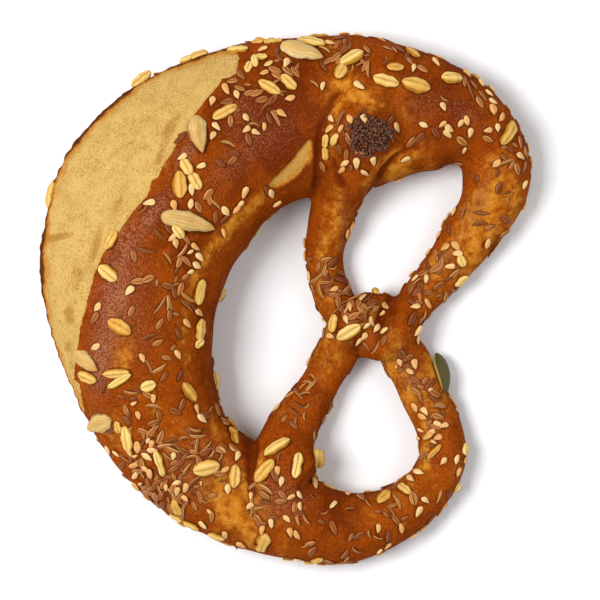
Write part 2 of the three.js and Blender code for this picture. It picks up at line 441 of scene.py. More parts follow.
LOWER_EDGE = [
    (-64, -20), (-62.5, -25), (-60.5, -28.5), (-57.5, -34), (-54, -40), (-50, -45), (-45, -50),
    (-40, -54), (-35, -57.5), (-30, -60), (-25, -63), (-20, -64.3), (-15, -64.8), (-10, -65),
    (0, -64.5), (12, -62.5), (24, -58.5), (36, -52), (46, -44.5),
]
INNER_TEAR = [
    (-42.5, 3.6), (-39.3, 2.9), (-36.2, 1.8), (-33.6, 0.3), (-31.0, -1.8), (-29.0, -3.8), (-27.7, -5.7),
]
INNER_TEAR_WIDTH = 2.1
TEAR_ABOVE = 12
OUTER_SIDE = (14, 20)
NOT_NEAR = -9.0


def nearest_on(line, places):
    """Distance from each place to a line of points, the side it lies on and how far along it is."""
    line = np.array(line, float)
    best = np.full(len(places), 1e9)
    side = np.ones(len(places))
    along = np.zeros(len(places))
    run = 0.0
    for start, end in zip(line[:-1], line[1:]):
        step = end - start
        length = np.hypot(*step)
        share = np.clip((places - start) @ step / length**2, 0, 1)
        gap = places - start - share[:, None] * step
        distance = np.hypot(gap[:, 0], gap[:, 1])
        closer = distance < best
        best = np.where(closer, distance, best)
        turn = step[0] * gap[:, 1] - step[1] * gap[:, 0]
        side = np.where(closer, np.sign(turn), side)
        along = np.where(closer, run + share * length, along)
        run += length
    return best, side, along / run


def cloud(points, size, shift=0.0):
    """Smooth noise from about -1 to 1 at points in mm."""
    moved = points / size + shift
    return np.array([noise.noise(p) for p in moved.tolist()])


def crumb_depth(points):
    """How far inside the crumb a point lies, in mm; below 0 on the crust."""
    seen = as_seen(points)
    distance, side, _ = nearest_on(SPLIT_EDGE, seen)
    below_edge = -distance * side + 0.22 * cloud(points, 1.4) + 0.25 * cloud(points, 4.0, 9.0)
    lip = np.interp(seen[:, 0], LIP_STATIONS, LIP_HEIGHTS)
    above_lip = points[:, 2] - lip + 0.5 * cloud(points, 5.0, 3.0)
    outer = rise(-seen[:, 1], *OUTER_SIDE) > 0
    return np.where(outer, np.minimum(below_edge, above_lip), NOT_NEAR), above_lip


def tear_depth(points):
    """How far inside the small inner tear a point lies, in mm."""
    seen = as_seen(points)
    distance, _, along = nearest_on(INNER_TEAR, seen)
    half = INNER_TEAR_WIDTH * np.sqrt(np.clip(along * (1 - along) * 4, 0, 1))
    inside = half - distance + 0.2 * cloud(points, 1.2, 5.0)
    return np.where(points[:, 2] > TEAR_ABOVE, inside, NOT_NEAR)


# %% Finer squares along the edge
EDGE_BAND = 1.3
TEAR_BAND = 0.8


def refine(mesh, chosen):
    """Cuts every edge between two chosen points in half, so that a crisp edge has points enough."""
    work = bmesh.new()
    work.from_mesh(mesh)
    work.verts.ensure_lookup_table()
    flags = chosen.tolist()
    cut = [e for e in work.edges if flags[e.verts[0].index] and flags[e.verts[1].index]]
    bmesh.ops.subdivide_edges(work, edges=cut, cuts=1, use_grid_fill=True)
    bmesh.ops.triangulate(work, faces=[f for f in work.faces if len(f.verts) > 4])
    work.to_mesh(mesh)
    work.free()


depth, _ = crumb_depth(smooth)
near_edge = (abs(depth) < EDGE_BAND) | (abs(tear_depth(smooth)) < TEAR_BAND)
refine(dough_mesh, near_edge)
smooth, links = read_mesh(dough_mesh)
print("points after refining the edge:", len(smooth))

# %% [markdown]
# ## Relief
#
# Now the skin gets its shape: the crust stands proud of the crumb and curls up a little where it
# tore, the crumb is a dry, faintly lumpy slope, the lip under it is a thin scorched bead, and
# where an arm's end lies on a shoulder the two skins meet in a shallow crease. All of it is a
# push along the surface's own direction, summed up before any point is moved.

# %% Push the skin in and out
CREASES = [
    # line, half width, depth
    (
        [(-26, 7.5), (-32.8, 7.6), (-38.2, 6.6), (-45.3, 6.0), (-50.1, 6.5), (-55.1, 8.0), (-60, 10.5)],
        1.2,
        1.1,
    ),
    ([(-59, 13), (-54.9, 10.4), (-51.6, 9.4), (-46, 9), (-40, 9.4)], 1.1, -0.45),
    ([(-33.5, 23.6), (-38, 25.3), (-42, 27.8), (-45, 31), (-46, 35)], 1.0, 0.8),
    ([(-31, 20.4), (-33.3, 21.4), (-37.4, 22.9), (-41.1, 25.1), (-43.8, 28), (-44.5, 31)], 0.9, -0.5),
    ([(-39.3, 9.9), (-33.7, 12.8), (-30.3, 15.3)], 0.7, 0.6),
    ([(-37.5, 7.7), (-35.4, 9.2), (-33.8, 10.7)], 0.6, 0.35),
    ([(43, 3.2), (48, 3), (54, 3.6), (60, 6)], 1.2, 1.1),
    ([(44, 5.6), (49, 5.4), (54, 6.2), (58, 8.4)], 1.0, -0.4),
    ([(44, 23.5), (48.5, 20.8), (52, 18.6), (56, 17.4)], 1.2, 0.7),
    ([(-6, 36), (-3, 33.5), (2, 31.8), (8, 31.5), (13, 31)], 1.0, 1.0),
    ([(-3, 21.5), (1, 20.6), (6, 20.2), (12, 19.6)], 1.0, 0.8),
    ([(-52, 47), (-51, 52), (-49, 57)], 2.5, 0.35),
    ([(-5, -57), (-3.5, -61), (-2, -64)], 1.1, 0.35),
]


def crease_depth(points):
    """How deep the creases between strands run at each point, in mm; below 0 on a ridge."""
    seen = as_seen(points)
    total = np.zeros(len(points))
    for line, width, depth in CREASES:
        distance, _, along = nearest_on(line, seen)
        ends = rise(along, -0.001, 0.15) * rise(1 - along, -0.001, 0.15)
        total += depth * np.exp(-((distance / width) ** 2)) * ends
    return total


WRINKLED = [
    # x, y, half length, half width: skin that gathered where strands are pressed together
    (-40, 14, 9, 7), (-53, 16, 6, 6), (57, 10, 8, 7), (54, -4, 6, 5), (4, 25, 9, 10), (-30, 13, 5, 5),
    (46, 14, 6, 5),
]


CURL_HEIGHT, CURL_REACH = 0.5, 1.3
CRUMB_SINKS, SINK_REACH = 0.45, 1.5
LIP_BEAD_WIDTH = 0.9

above_table = rise(smooth[:, 2], 0.3, 3.0)
depth, above_lip = crumb_depth(smooth)
tear = tear_depth(smooth)
inside = rise(depth, -0.12, 0.22)
curl = CURL_HEIGHT * np.exp(-np.clip(-depth, 0, 9) / CURL_REACH) * (1 - inside) * rise(above_lip, 0.3, 2.0)
sunk = -CRUMB_SINKS * np.exp(-np.clip(depth, 0, 9) / SINK_REACH) * inside
lip_bead = (
    (0.4 + 0.5 * cloud(smooth, 2.2, 11.0))
    * np.exp(-((above_lip / LIP_BEAD_WIDTH) ** 2))
    * rise(depth, -2.5, -0.5)
    * (depth > -8)
)
crumb_lumps = inside * (0.22 * cloud(smooth, 3.4) + 0.12 * cloud(smooth, 1.3, 4.0))
crust_lumps = (1 - inside) * (0.16 * cloud(smooth, 7.0, 2.0) + 0.05 * cloud(smooth, 2.0, 6.0))
crust_lumps += oval_share(as_seen(smooth), WRINKLED) * (
    0.3 * cloud(smooth, 2.6, 8.0) + 0.15 * cloud(smooth, 1.5, 1.0)
)
tear_open = -0.6 * rise(tear, -0.15, 0.5) + 0.22 * np.exp(-((tear + 0.4) / 0.5) ** 2)
creases = crease_depth(smooth) * rise(smooth[:, 2], 6.0, 9.0)
push = (curl + sunk + lip_bead + crumb_lumps + crust_lumps + tear_open - creases) * above_table
skin = smooth + directions(dough_mesh) * push[:, None]
skin[:, 2] = np.maximum(skin[:, 2], 0.0)
write_points(dough_mesh, skin)
print("skin pushed by", round(float(push.min()), 2), "to", round(float(push.max()), 2), "mm")

# %% [markdown]
# ## Tones of the crust
#
# A lye crust isn't one brown. Where the skin stretched thin, over the blunt ends of the arms
# and on top of a loop, it is amber; some amber patches on arms and loops and the ridges between
# strands are lightened as a painted highlight too. The mahogany patches are partly the crust's
# own dark tone and partly painted shade in valleys, and steep flanks and creases are darkened as
# painted shade. Near the burst the crust dried early and carries a dull purplish bloom, and the
# bloom patches also carry a painted sheen of pinkish specks. Each tone is a number at every
# point, built from soft oval patches. The shader only mixes colours by these numbers.

# %% Patches of tone
# Amber patches: the crust's own amber, and on some arms and loops a painted highlight band.
AMBER_AND_SHEEN_PATCHES = [
    # x, y, half length, half width, angle, strength
    (-57.5, 13, 5, 3.2, 60, 1.0), (-56, 19, 4, 2.5, 80, 0.5), (-62, 21, 3, 2, 80, 0.5),
    (-51, 6.8, 7, 1.5, -8, 0.7), (-56, 28, 6, 4, 30, 0.3), (-43, 31, 7, 2.5, -60, 0.5),
    (-37, 61, 9, 4, 5, 0.35), (-33, 53.5, 6, 3, -20, 0.45), (-24, 56, 6, 3, -30, 0.35),
    (-15, 44, 6, 2, -30, 0.35), (15.5, 37, 3, 2, 80, 0.9), (10, 37, 6, 3, 0, 0.35),
    (32, 49.7, 3, 1.6, 20, 0.7), (38.5, 50.5, 5, 1.3, 8, 0.7), (15, 48.3, 6, 1.1, 15, 0.7),
    (22, 41, 7, 2, 35, 0.35), (45, 57.5, 7, 3, -20, 0.25), (65, 2, 6, 3, 40, 0.7),
    (63, -2.5, 4, 1.8, 0, 0.7), (70, 7, 2.5, 4, 80, 0.5), (57, -5, 5, 3, 0, 0.4),
    (70.5, 16, 2, 5, 85, 0.35), (58, 38, 5, 4, 0, 0.25), (27.3, -37.3, 2.8, 2.2, 0, 0.8),
    (39.5, -26, 3, 2, 30, 0.3), (-16, -26, 2.4, 2, 0, 0.5), (-20, -10.5, 8, 1.6, -38, 0.75),
    (-12, -15, 8, 1.7, -32, 0.75), (-4, -20, 8, 1.7, -18, 0.5), (8, -22, 9, 1.6, 0, 0.4),
    (24, -20, 8, 2, 20, 0.35), (40, -9.5, 6, 1.8, 35, 0.5), (-12, 12.5, 9, 1.8, 5, 0.35),
    (-20, 15.5, 8, 1.6, 12, 0.5), (20, 20.5, 9, 2, -15, 0.25), (36, 62, 10, 2, 0, 0.2),
    (-1, 17, 3, 2, 0, 0.4), (52, 5, 5, 1.2, 5, 0.4), (45, -20, 6, 5, 30, 0.3), (35, -30, 5, 4, 0, 0.25),
    (-34, 56, 11, 8, 0, 0.4), (-19, 50, 10, 8, -40, 0.35), (-9, 45, 7, 6, 0, 0.3),
    (56, -7, 11, 9, 20, 0.4), (47, 46, 9, 8, 0, 0.35), (20, 41, 11, 8, 40, 0.35),
    (13, 49, 5, 5, 0, 0.25), (8, 15, 10, 5, 10, 0.35), (15, 18, 6, 5, -20, 0.3), (32, 9, 6, 5, 0, 0.3),
    (5, 26, 6, 6, 0, 0.3), (24, -39, 12, 5, 0, 0.35), (-4, -43, 9, 4, -10, 0.3),
    (-30, -36, 5, 4, -30, 0.35), (-40, 29, 4, 4, 0, 0.25), (66, 2, 8, 6, 0, 0.2),
    (50, -33, 6, 6, 0, 0.25), (40, -45, 8, 4, 20, 0.2), (-36, 29, 5, 4, 0, 0.9),
    (-31, 54, 6, 3, -15, 0.4), (12, -42, 9, 3, 0, 0.35), (-23.1, -7.5, 1.6, 1.3, 0, 0.8),
    (24, 51, 9, 6, 20, 0.25), (-8, 12, 9, 4, 5, 0.25), (-24, 14, 8, 3, 10, 0.45), (56, 2, 4, 3, 0, 0.5),
    (20, 43.5, 4, 2.5, 20, 0.3), (59, -14, 4, 4, 0, 0.25), (-56, 8, 4, 2, 0, 0.25),
    (-13, -44, 6, 2, -20, 0.3), (63, 12, 4, 4, 0, 0.2), (-40, 11, 5, 2, 0, 0.25),
    (-12, 50, 4, 3, 0, 0.25), (52, -24, 4, 4, 0, 0.2), (-32, 64, 5, 3, 0, 0.25), (40, 50, 4, 3, 0, 0.2),
    (46, -35, 4, 3, 0, 0.2), (56, 4.5, 4, 1.8, 0, 0.5), (-52, 8.5, 4, 2, 0, 0.7),
    (-15, 55, 4, 3, 0, 0.4), (-39, 38, 4, 3, 0, 0.5), (-32, 21, 4, 3, 0, 0.3),
    (-31, 54, 6, 3, -15, 0.35), (-38, 5.5, 4, 2.5, 90, 0.7), (16, -17, 5, 3, 80, 0.3),
    (54, 5, 5, 3, 0, 0.5), (-47, 55, 4, 3, 0, 0.35), (-22, 18, 4, 2, 0, 0.3), (1, 31, 5, 3, 0, 0.4),
    (-70, 5, 4, 4, 0, 0.3), (-62, 11, 3, 3, 0, 0.2), (61, 10, 4, 4, 0, 0.3), (47, -38, 4, 3, 0, 0.25),
    (54, -20, 4, 6, 0, 0.15),
]
# Mahogany patches: the crust's own dark tone, and painted shade in valleys between strands.
MAHOGANY_AND_SHADE_PATCHES = [
    (-25, -15, 12, 4, -35, 0.32), (-38, -2, 7, 3, -30, 0.5), (-29, 1, 7, 2, -40, 0.15),
    (-45, 3.8, 9, 1.6, 0, 0.25), (33, -12.5, 8, 2.6, 25, 0.4), (44, 1.5, 6.5, 2.2, 0, 0.85),
    (60, 24, 6, 7, 80, 0.6), (-62, 38, 6, 7, 80, 0.4), (-61.3, -3.5, 2, 1.2, 50, 0.9),
    (30, 57, 4, 3, 60, 0.4), (-57, 43, 6, 5, 0, 0.35), (-48, 52, 3, 5, 80, 0.25),
    (38, 13, 6, 3, 0, 0.4), (3, 34.5, 6, 1.5, -5, 0.6), (12, 25, 2, 3, 90, 0.6),
    (5, -33, 10, 5, -20, 0.25), (-36, 13, 8, 4, 10, 0.3), (0, 26, 3, 6, 90, 0.5),
    (-53, 62, 3, 3, 0, 0.3), (68, 33, 4, 6, 80, 0.25), (-68, 24, 3, 8, 88, 0.3),
    (57.2, 10.2, 1, 0.8, 0, 1.0), (-46.7, 19.6, 6, 6, 0, 0.9), (-54, -10, 13, 9, 0, 0.4),
    (-37, -4, 9, 7, -20, 0.3), (-57, -19, 7, 5, 0, 0.3), (-10, -22, 8, 6, -20, 0.3),
    (-19, -34, 7, 4, -20, 0.25), (-65, 30, 6, 14, 90, 0.3), (-67, 45, 6, 8, 0, 0.3),
    (60, 35, 6, 7, 0, 0.3), (-33, -16, 8, 5, -30, 0.25), (12, -18, 9, 5, 0, 0.2),
    (-60, 2, 8, 6, 0, 0.3), (-46, -16, 8, 6, -40, 0.35), (-43, -5, 9, 6, -30, 0.3),
    (-9, -33, 10, 5, -10, 0.3), (3, -12, 8, 3, 0, 0.2), (-54, -4, 7, 7, 0, 0.25),
    (-14, -36, 5, 3, -20, 0.35), (-66, 15, 5, 6, 0, 0.4), (-49, -25, 6, 4, -40, 0.45),
    (1, -24, 6, 3, 0, 0.35), (-7, -26, 5, 3, 0, 0.25), (-63, -3, 5, 5, 0, 0.35),
    (-41, -23, 5, 4, -30, 0.35), (-16, -28, 5, 3, -20, 0.35), (-25, -22, 7, 3, -30, 0.2),
    (18, 21, 3, 2, 0, 0.5), (-24, 58, 4, 3, 0, 0.5), (-51, -4, 5, 5, 0, 0.3), (-66, 6, 4, 4, 0, 0.3),
    (-57, 51, 4, 4, 0, 0.25), (50, -6, 4, 3, 0, 0.25), (-55, 22, 3, 3, 0, 0.2), (63, -26, 5, 4, 0, 0.4),
    (61, -17, 4, 4, 0, 0.3), (27, 18, 5, 3, -15, 0.35), (60, 31, 5, 5, 0, 0.2), (-57, 34, 5, 6, 0, 0.2),
    (-48, 36, 3, 3, 0, 0.3),
]
# Bloom patches: a dull purplish tone, and a painted sheen of pinkish specks.
BLOOM_AND_SHEEN_PATCHES = [
    (-42, -8, 11, 6, -55, 0.45), (-33, -30, 5, 2.5, -20, 0.6), (-15, -36, 8, 2.6, -25, 0.9),
    (8, -43, 14, 4.5, -3, 0.75), (-30, -18, 10, 4, -40, 0.45), (33, -43, 8, 3.5, 10, 0.6),
    (-57, 45, 6, 3, 50, 0.5), (-58, 33, 6, 5, 60, 0.35), (55, -12, 9, 8, 20, 0.5),
    (58, 11, 7, 6, 0, 0.55), (-20, 17, 9, 1.3, 8, 0.5), (-33, 53, 7, 2.5, -15, 0.5),
    (18, 43, 9, 2.5, 35, 0.4), (58, 16, 5, 5, 0, 0.3), (-48, -17, 7, 5, -40, 0.5),
    (22, -33, 9, 4, -5, 0.3), (-32, -30, 5, 3, -30, 0.4), (-13, -44, 6, 2, -20, 0.5),
    (30, -45, 7, 3, 5, 0.4), (8, -37, 12, 5, -3, 0.35), (18, -42, 8, 5, 0, 0.3),
    (26, -43, 6, 4, 0, 0.35), (-5, -42.5, 7, 4, -15, 0.4),
]
STREAKS = [
    (-39.5, -35.5, 4.0, 1.6, -30, 0.9), (-34, -36.5, 3.5, 1.2, -25, 0.6),
    (-30, -37, 2.6, 1.1, -20, 0.7), (-22, -44.5, 5, 1.6, -30, 0.35), (-15, -46.5, 4.5, 1.6, -25, 0.5),
    (-5, -50.5, 5.5, 1.3, -12, 0.45), (-47, -31.5, 4, 1.3, -25, 0.35), (17.5, -54.5, 3.5, 1.2, 0, 0.5),
    (-30, -44, 6, 2, -30, 0.3), (-41, -42, 5, 2, -40, 0.25), (5, -55, 5, 1.6, 0, 0.3),
    (-3.5, -61, 1.0, 4, 20, 0.9), (-12, -55, 7, 2.0, -20, 0.25), (3.3, -51.6, 3, 1.1, -10, 0.32),
    (7, -54.6, 3.4, 1.2, 0, 0.3), (11, -56.4, 2, 0.9, 0, 0.35), (16.8, -54.2, 3.2, 1.3, 10, 0.3),
    (21, -50.6, 3, 1.1, 70, 0.3), (-1.5, -50.2, 4, 1.2, -10, 0.6), (-14, -58.5, 6, 1.5, -10, 0.35),
    (-46, -43, 6, 1.4, -48, 0.4), (-29, -50, 7, 1.6, -30, 0.35), (26, -52.5, 3, 1.2, 20, 0.5),
    (-52, -31, 4, 1.2, -40, 0.4), (30, -55, 3.5, 1.1, 25, 0.6), (6.3, -53.1, 1.6, 0.9, 10, 0.6),
    (9.6, -53.4, 1.3, 0.8, 10, 0.5), (16.9, -55.0, 1, 1.3, 10, 0.6), (19.9, -56.8, 0.7, 0.8, 10, 0.6),
    (18.8, -53.5, 0.7, 0.9, 10, 0.5), (13.7, -53.1, 0.9, 0.6, 10, 0.6),
    (-2.7, -63.0, 0.8, 1.6, 10, 0.7), (26.9, -53.6, 1.4, 0.7, 10, 0.5),
    (12.5, -59.0, 1.2, 0.8, 10, 0.35),
]


def patches(seen, ovals):
    """Sum of soft ovals at plan places, never above 1."""
    total = np.zeros(len(seen))
    for x, y, long, wide, angle, strength in ovals:
        turn = math.radians(angle)
        dx, dy = seen[:, 0] - x, seen[:, 1] - y
        u = (dx * math.cos(turn) + dy * math.sin(turn)) / long
        v = (dy * math.cos(turn) - dx * math.sin(turn)) / wide
        total += strength * np.exp(-(u * u + v * v))
    return np.clip(total, 0, 1)


def store(mesh, name, values):
    """Keeps one number at each point, for the shader to read."""
    mesh.attributes.new(name, "FLOAT", "POINT").data.foreach_set("value", np.asarray(values, np.float32))


up = directions(dough_mesh)[:, 2]
seen = as_seen(skin)
on_top = rise(up, -0.15, 0.25)
flank = 1 - rise(up, 0.15, 0.75)
rim_distance, rim_side, _ = nearest_on(LOWER_EDGE, seen)
rim = np.minimum(rim_distance * rim_side, above_lip * 0.8) + 0.3 * cloud(skin, 2.0, 7.0)
store(dough_mesh, "rim_mm", rim)
store(dough_mesh, "crumb_mm", np.minimum(depth, rim + 1.3))
store(dough_mesh, "tear_mm", tear)
in_crease = np.clip(creases, 0, 1)
on_ridge = np.clip(-creases, 0, 1)
# Ridges get amber as a painted highlight; creases lose it as painted shade.
store(dough_mesh, "gold", np.clip(patches(seen, AMBER_AND_SHEEN_PATCHES) * on_top + 0.8 * on_ridge - in_crease, 0, 1))
# Steep flanks and creases are darkened as painted shade.
store(dough_mesh, "deep", np.clip(patches(seen, MAHOGANY_AND_SHADE_PATCHES) * on_top + 0.2 * flank + 0.7 * in_crease, 0, 1))
store(dough_mesh, "bloom", patches(seen, BLOOM_AND_SHEEN_PATCHES) * on_top)
store(dough_mesh, "streak", patches(seen, STREAKS))
print("tones stored:", [a.name for a in dough_mesh.attributes if a.domain == "POINT"])

# %% [markdown]
# ## Crust and crumb as one material
#
# Crust and crumb are the same dough, so they share a mesh and one material, cut along the
# stored distance. The crust is a dark glaze with pinpoint blisters: fine noise lightens single
# specks to a dusty pink as a painted sheen, strongest in the bloom patches, and broad smears of
# noise make some stretches darker than others. The crumb is matt and grainy, pale yellow with
# brown streaks, and toasts through orange to almost black on its lower lip. Close to a seed the
# crust is darkened, partly as a darker glaze and partly as painted contact shadow.

# %% Dough material
crust = Recipe("crust_and_crumb")
mottle = crust.grain(6.0, 4.0)
blotch = crust.grain(2.6, 4.0, 0.65)
fine = crust.grain(0.9, 3.0, 0.6)
speck = crust.grain(0.42, 2.0, 0.6)
smear = crust.grain(8.0, 3.0, 0.6).step(0.47, 0.54)
gold, deep, bloom = (crust.attribute(name) for name in ("gold", "deep", "bloom"))
crumb_mm, rim_mm, tear_mm = (crust.attribute(name) for name in ("crumb_mm", "rim_mm", "tear_mm"))
streak, seed_mm = crust.attribute("streak"), crust.attribute("seed_mm")

MID_BROWN = (0.184, 0.03, 0.001)
WARM_BROWN = (0.325, 0.059, 0.0018)
MAHOGANY = (0.135, 0.019, 0.0008)
AMBER = (0.5, 0.17, 0.011)
STRAW = (0.74, 0.4, 0.09)
BLOOM_DARK = (0.125, 0.02, 0.006)
# Pinkish speck colour of the painted sheen.
SHEEN_SPECK_PINK = (0.46, 0.18, 0.09)
# Colour of the painted contact shadow and darker glaze round seeds.
GLAZE_AND_SHADOW_BROWN = (0.05, 0.010, 0.002)

skin_colour = crust.blend(
    (mottle * 0.35 + fine * 0.35 + speck * 0.3).step(0.38, 0.62), MID_BROWN, WARM_BROWN
)
# Mahogany mix: dark crust tone, plus painted shade on flanks, in creases and in valleys.
skin_colour = crust.blend(
    (deep + 0.4 * (mottle - 0.5) + 0.26 * (smear - 0.5)).step(0.05, 0.8), skin_colour, MAHOGANY
)
amber_and_sheen_share = gold * (0.35 + 1.3 * blotch.step(0.3, 0.7)) + 0.7 * (fine - 0.5) * gold
skin_colour = crust.blend(amber_and_sheen_share.step(0.05, 1.1), skin_colour, AMBER)
skin_colour = crust.blend(
    (fine * 0.5 + blotch * 0.7 - 0.1).step(0.5, 0.75) * gold * 0.55, skin_colour, STRAW
)
skin_colour = crust.blend(bloom * 0.8, skin_colour, BLOOM_DARK)
# Painted sheen: pinkish specks lit over the crust, most in the bloom patches.
sheen_speck_share = (speck + 0.15 * bloom).step(0.55, 0.7) * (0.14 + 0.5 * bloom)
skin_colour = crust.blend(sheen_speck_share, skin_colour, SHEEN_SPECK_PINK)
# Painted contact shadow, with some darker glaze, in a thin ring round each seed.
gap = (1 - seed_mm.step(-0.1, 0.5)) * 0.58
skin_colour = crust.blend(gap, skin_colour, GLAZE_AND_SHADOW_BROWN)

CRUMB_PALE = (0.68, 0.44, 0.135)
CRUMB_DEEP = (0.4, 0.205, 0.038)
CRUMB_BROWN = (0.36, 0.155, 0.025)
TOAST = (0.54, 0.18, 0.015)
SCORCH = (0.07, 0.02, 0.008)

grainy = crust.grain(0.4, 4.0, 0.75)
crumb_tone = grainy * 0.7 + fine * 0.25 + mottle * 0.22
crumb_colour = crust.blend(crumb_tone.step(0.43, 0.65), CRUMB_DEEP, CRUMB_PALE)
crumb_colour = crust.blend(
    (streak * (3.2 * fine + blotch - 1.1)).step(0.2, 0.75) * 0.7, crumb_colour, CRUMB_BROWN
)
toast = 1 - (rim_mm + (fine - 0.5) * 1.4 + (mottle - 0.5) * 3).step(-0.6, 1.7)
crumb_colour = crust.blend(toast * 0.95, crumb_colour, TOAST)
scorch = 1 - (rim_mm + (mottle - 0.5) * 2.2 + (fine - 0.5) * 0.8).step(-0.6, 0.15)
crumb_colour = crust.blend(scorch * 0.92, crumb_colour, SCORCH)

TEAR_RIM = (0.42, 0.15, 0.012)
TEAR_FLESH = (0.6, 0.32, 0.07)
tear_colour = crust.blend((tear_mm * 0.35 + fine * 0.9 - 0.2).step(0.1, 0.75), TEAR_RIM, TEAR_FLESH)
is_tear = (tear_mm + 0.3 * (fine - 0.5)).step(-0.1, 0.2)
is_crumb = (crumb_mm + 0.25 * (fine - 0.5)).step(-0.04, 0.10)
colour = crust.blend(is_crumb, crust.blend(is_tear, skin_colour, tear_colour), crumb_colour)

dry = crust.node("ShaderNodeMath", {"operation": "MAXIMUM"}, {0: is_crumb, 1: is_tear})
skin_rough = 0.6 + 0.12 * (fine - 0.5)
rough = skin_rough + dry * (0.92 - skin_rough)
pores = crust.cells(0.75).step(0.0, 0.6)
relief = (1 - dry) * (speck * (0.35 + 0.8 * bloom) + fine * 0.5) + dry * (grainy * 1.8 + pores * 0.7)
normal = crust.bump(relief, 0.2)
crust.finish({
    "Base Color": colour,
    "Roughness": rough,
    "Specular IOR Level": 0.0,
    "Coat Weight": (1 - dry) * (0.015 + 0.16 * speck.step(0.5, 0.75)),
    "Coat Roughness": 0.32,
    "Normal": normal,
})

# %% [markdown]
# ## One way to shape every seed
#
# Each seed is a loft: rings across its length, closed to a point at both ends. Only two things
# differ from kind to kind, the outline seen from above and the relief on the ring, so a kind is
# a pair of small functions. Every single seed is lofted anew with its own random unevenness,
# because a tray of identical seeds is what gives a model away.

# %% Loft
def evenly(count):
    return np.linspace(0, 2 * np.pi, count, endpoint=False)


def loft(length, width, thick, stations, angles, outline, relief, rng):
    """Points of a seed in mm, its faces, and how far across, along and marked each point is."""
    u = -np.cos(np.linspace(0, np.pi, stations + 2))[1:-1, None]
    around = angles[None, :]
    wobble = 1 + 0.05 * np.cos(around * 2 + rng.uniform(0, 6)) + 0.04 * np.cos(3 * u + rng.uniform(0, 6))
    half = width / 2 * outline(u) * wobble
    y = half * np.cos(around)
    lower = np.where(np.sin(around) < 0, 0.55, 1.0)
    z = thick * np.sin(around) * lower * np.sqrt(np.clip(outline(u), 0, 1))
    x = length / 2 * u + 0 * around
    y, z, mark = relief(u, around, x, y, z, rng)
    rings = np.stack([x, y + 0 * x, z + 0 * x], -1).reshape(-1, 3)
    ends = np.array([[-length / 2, y[0].mean(), z[0].mean()], [length / 2, y[-1].mean(), z[-1].mean()]])
    points = np.vstack([rings, ends])
    marks = np.stack([np.cos(around) + 0 * x, u + 0 * x, mark + 0 * x], -1).reshape(-1, 3)
    marks = np.vstack([marks, [[0, -1, mark[0].mean()], [0, 1, mark[-1].mean()]]])
    count = len(angles)
    faces = []
    for ring in range(stations - 1):
        for k in range(count):
            a, b = ring * count + k, ring * count + (k + 1) % count
            faces.append((a, a + count, b + count, b))
    first, last = stations * count, stations * count + 1
    for k in range(count):
        faces.append((first, k, (k + 1) % count))
        end = (stations - 1) * count
        faces.append((last, end + (k + 1) % count, end + k))
    return points, faces, marks


# %% [markdown]
# Rolled oats are steamed and pressed flat: a rough oval with a crease down the middle, where
# the two halves of the grain meet, and a ragged rim. A sesame seed is a flat drop. A linseed is
# a glossy lens with a small beak, caraway a curved splinter with five ribs. Sunflower kernels
# are fat drops with fine lengthwise ridges, and the one pumpkin seed has a raised rim.

# %% Kinds
def oat_outline(u):
    return (1 - np.abs(u) ** 2.5) ** 0.6


def oat_relief(u, around, x, y, z, rng):
    ragged = 1 + 0.07 * np.cos(5 * around + 4 * u + rng.uniform(0, 6)) * rng.uniform(0.4, 1.4)
    ragged = ragged + 0.06 * np.cos(8 * u + rng.uniform(0, 6)) * np.sign(np.cos(around) + 0.001)
    waist = 1 - max(0.0, rng.normal(0.05, 0.14)) * np.exp(-(((u - rng.uniform(-0.3, 0.3)) / 0.4) ** 2))
    y = y * ragged * waist
    shift = rng.uniform(-0.5, 0.5) + rng.uniform(-0.4, 0.4) * u
    crease = np.exp(-(((y - shift) / 0.3) ** 2)) * (1 - u**6) * (z > 0)
    rib = np.exp(-(((y - shift + 1.0) / 0.25) ** 2)) + np.exp(-(((y - shift - 1.1) / 0.25) ** 2))
    z = z - crease * rng.uniform(0.0, 0.35) + 0.1 * rib * (z > 0)
    z = z + 0.16 * np.cos(2.2 * x + rng.uniform(0, 6)) * rng.uniform(0.2, 1.0)
    z = z + rng.uniform(-0.02, 0.045) * (y * y - 1.5)
    return y, z, np.clip(crease * 1.1, 0, 1)


def drop_outline(u):
    return 0.95 * (1 + u) ** 0.5 * (1 - u) ** 0.85


def sesame_relief(u, around, x, y, z, rng):
    y = y * (1 + 0.1 * np.cos(3.5 * u + rng.uniform(0, 6))) + rng.uniform(-0.2, 0.2) * (1 - u * u)
    z = z * (1 + 0.12 * np.cos(2 * around + rng.uniform(0, 6)))
    return y, z, rise(u, 0.55, 1.0) + 0 * x


def lens_outline(u):
    return (1 - u * u) ** 0.72 * (1 - 0.22 * u)


def linseed_relief(u, around, x, y, z, rng):
    rim = np.abs(np.cos(around)) ** 5
    hollow = np.exp(-((np.cos(around) / 0.35) ** 2)) * (z > 0) * rng.uniform(0.0, 1.0)
    return y, z - 0.16 * hollow, np.clip(rim + 0 * x, 0, 1)


def splinter_outline(u):
    return (1 - u * u) ** 0.5 * (1 - 0.15 * u)


def caraway_relief(u, around, x, y, z, rng):
    ribs = 0.5 + 0.5 * np.cos(6 * around)
    y = y * (0.86 + 0.2 * ribs) + rng.choice([-1, 1]) * rng.uniform(0.25, 0.6) * (1 - u * u)
    z = z * (0.84 + 0.24 * ribs)
    return y, z, ribs + 0 * x


def sunflower_outline(u):
    return 0.97 * (1 + u) ** 0.5 * (1 - u) ** 0.78


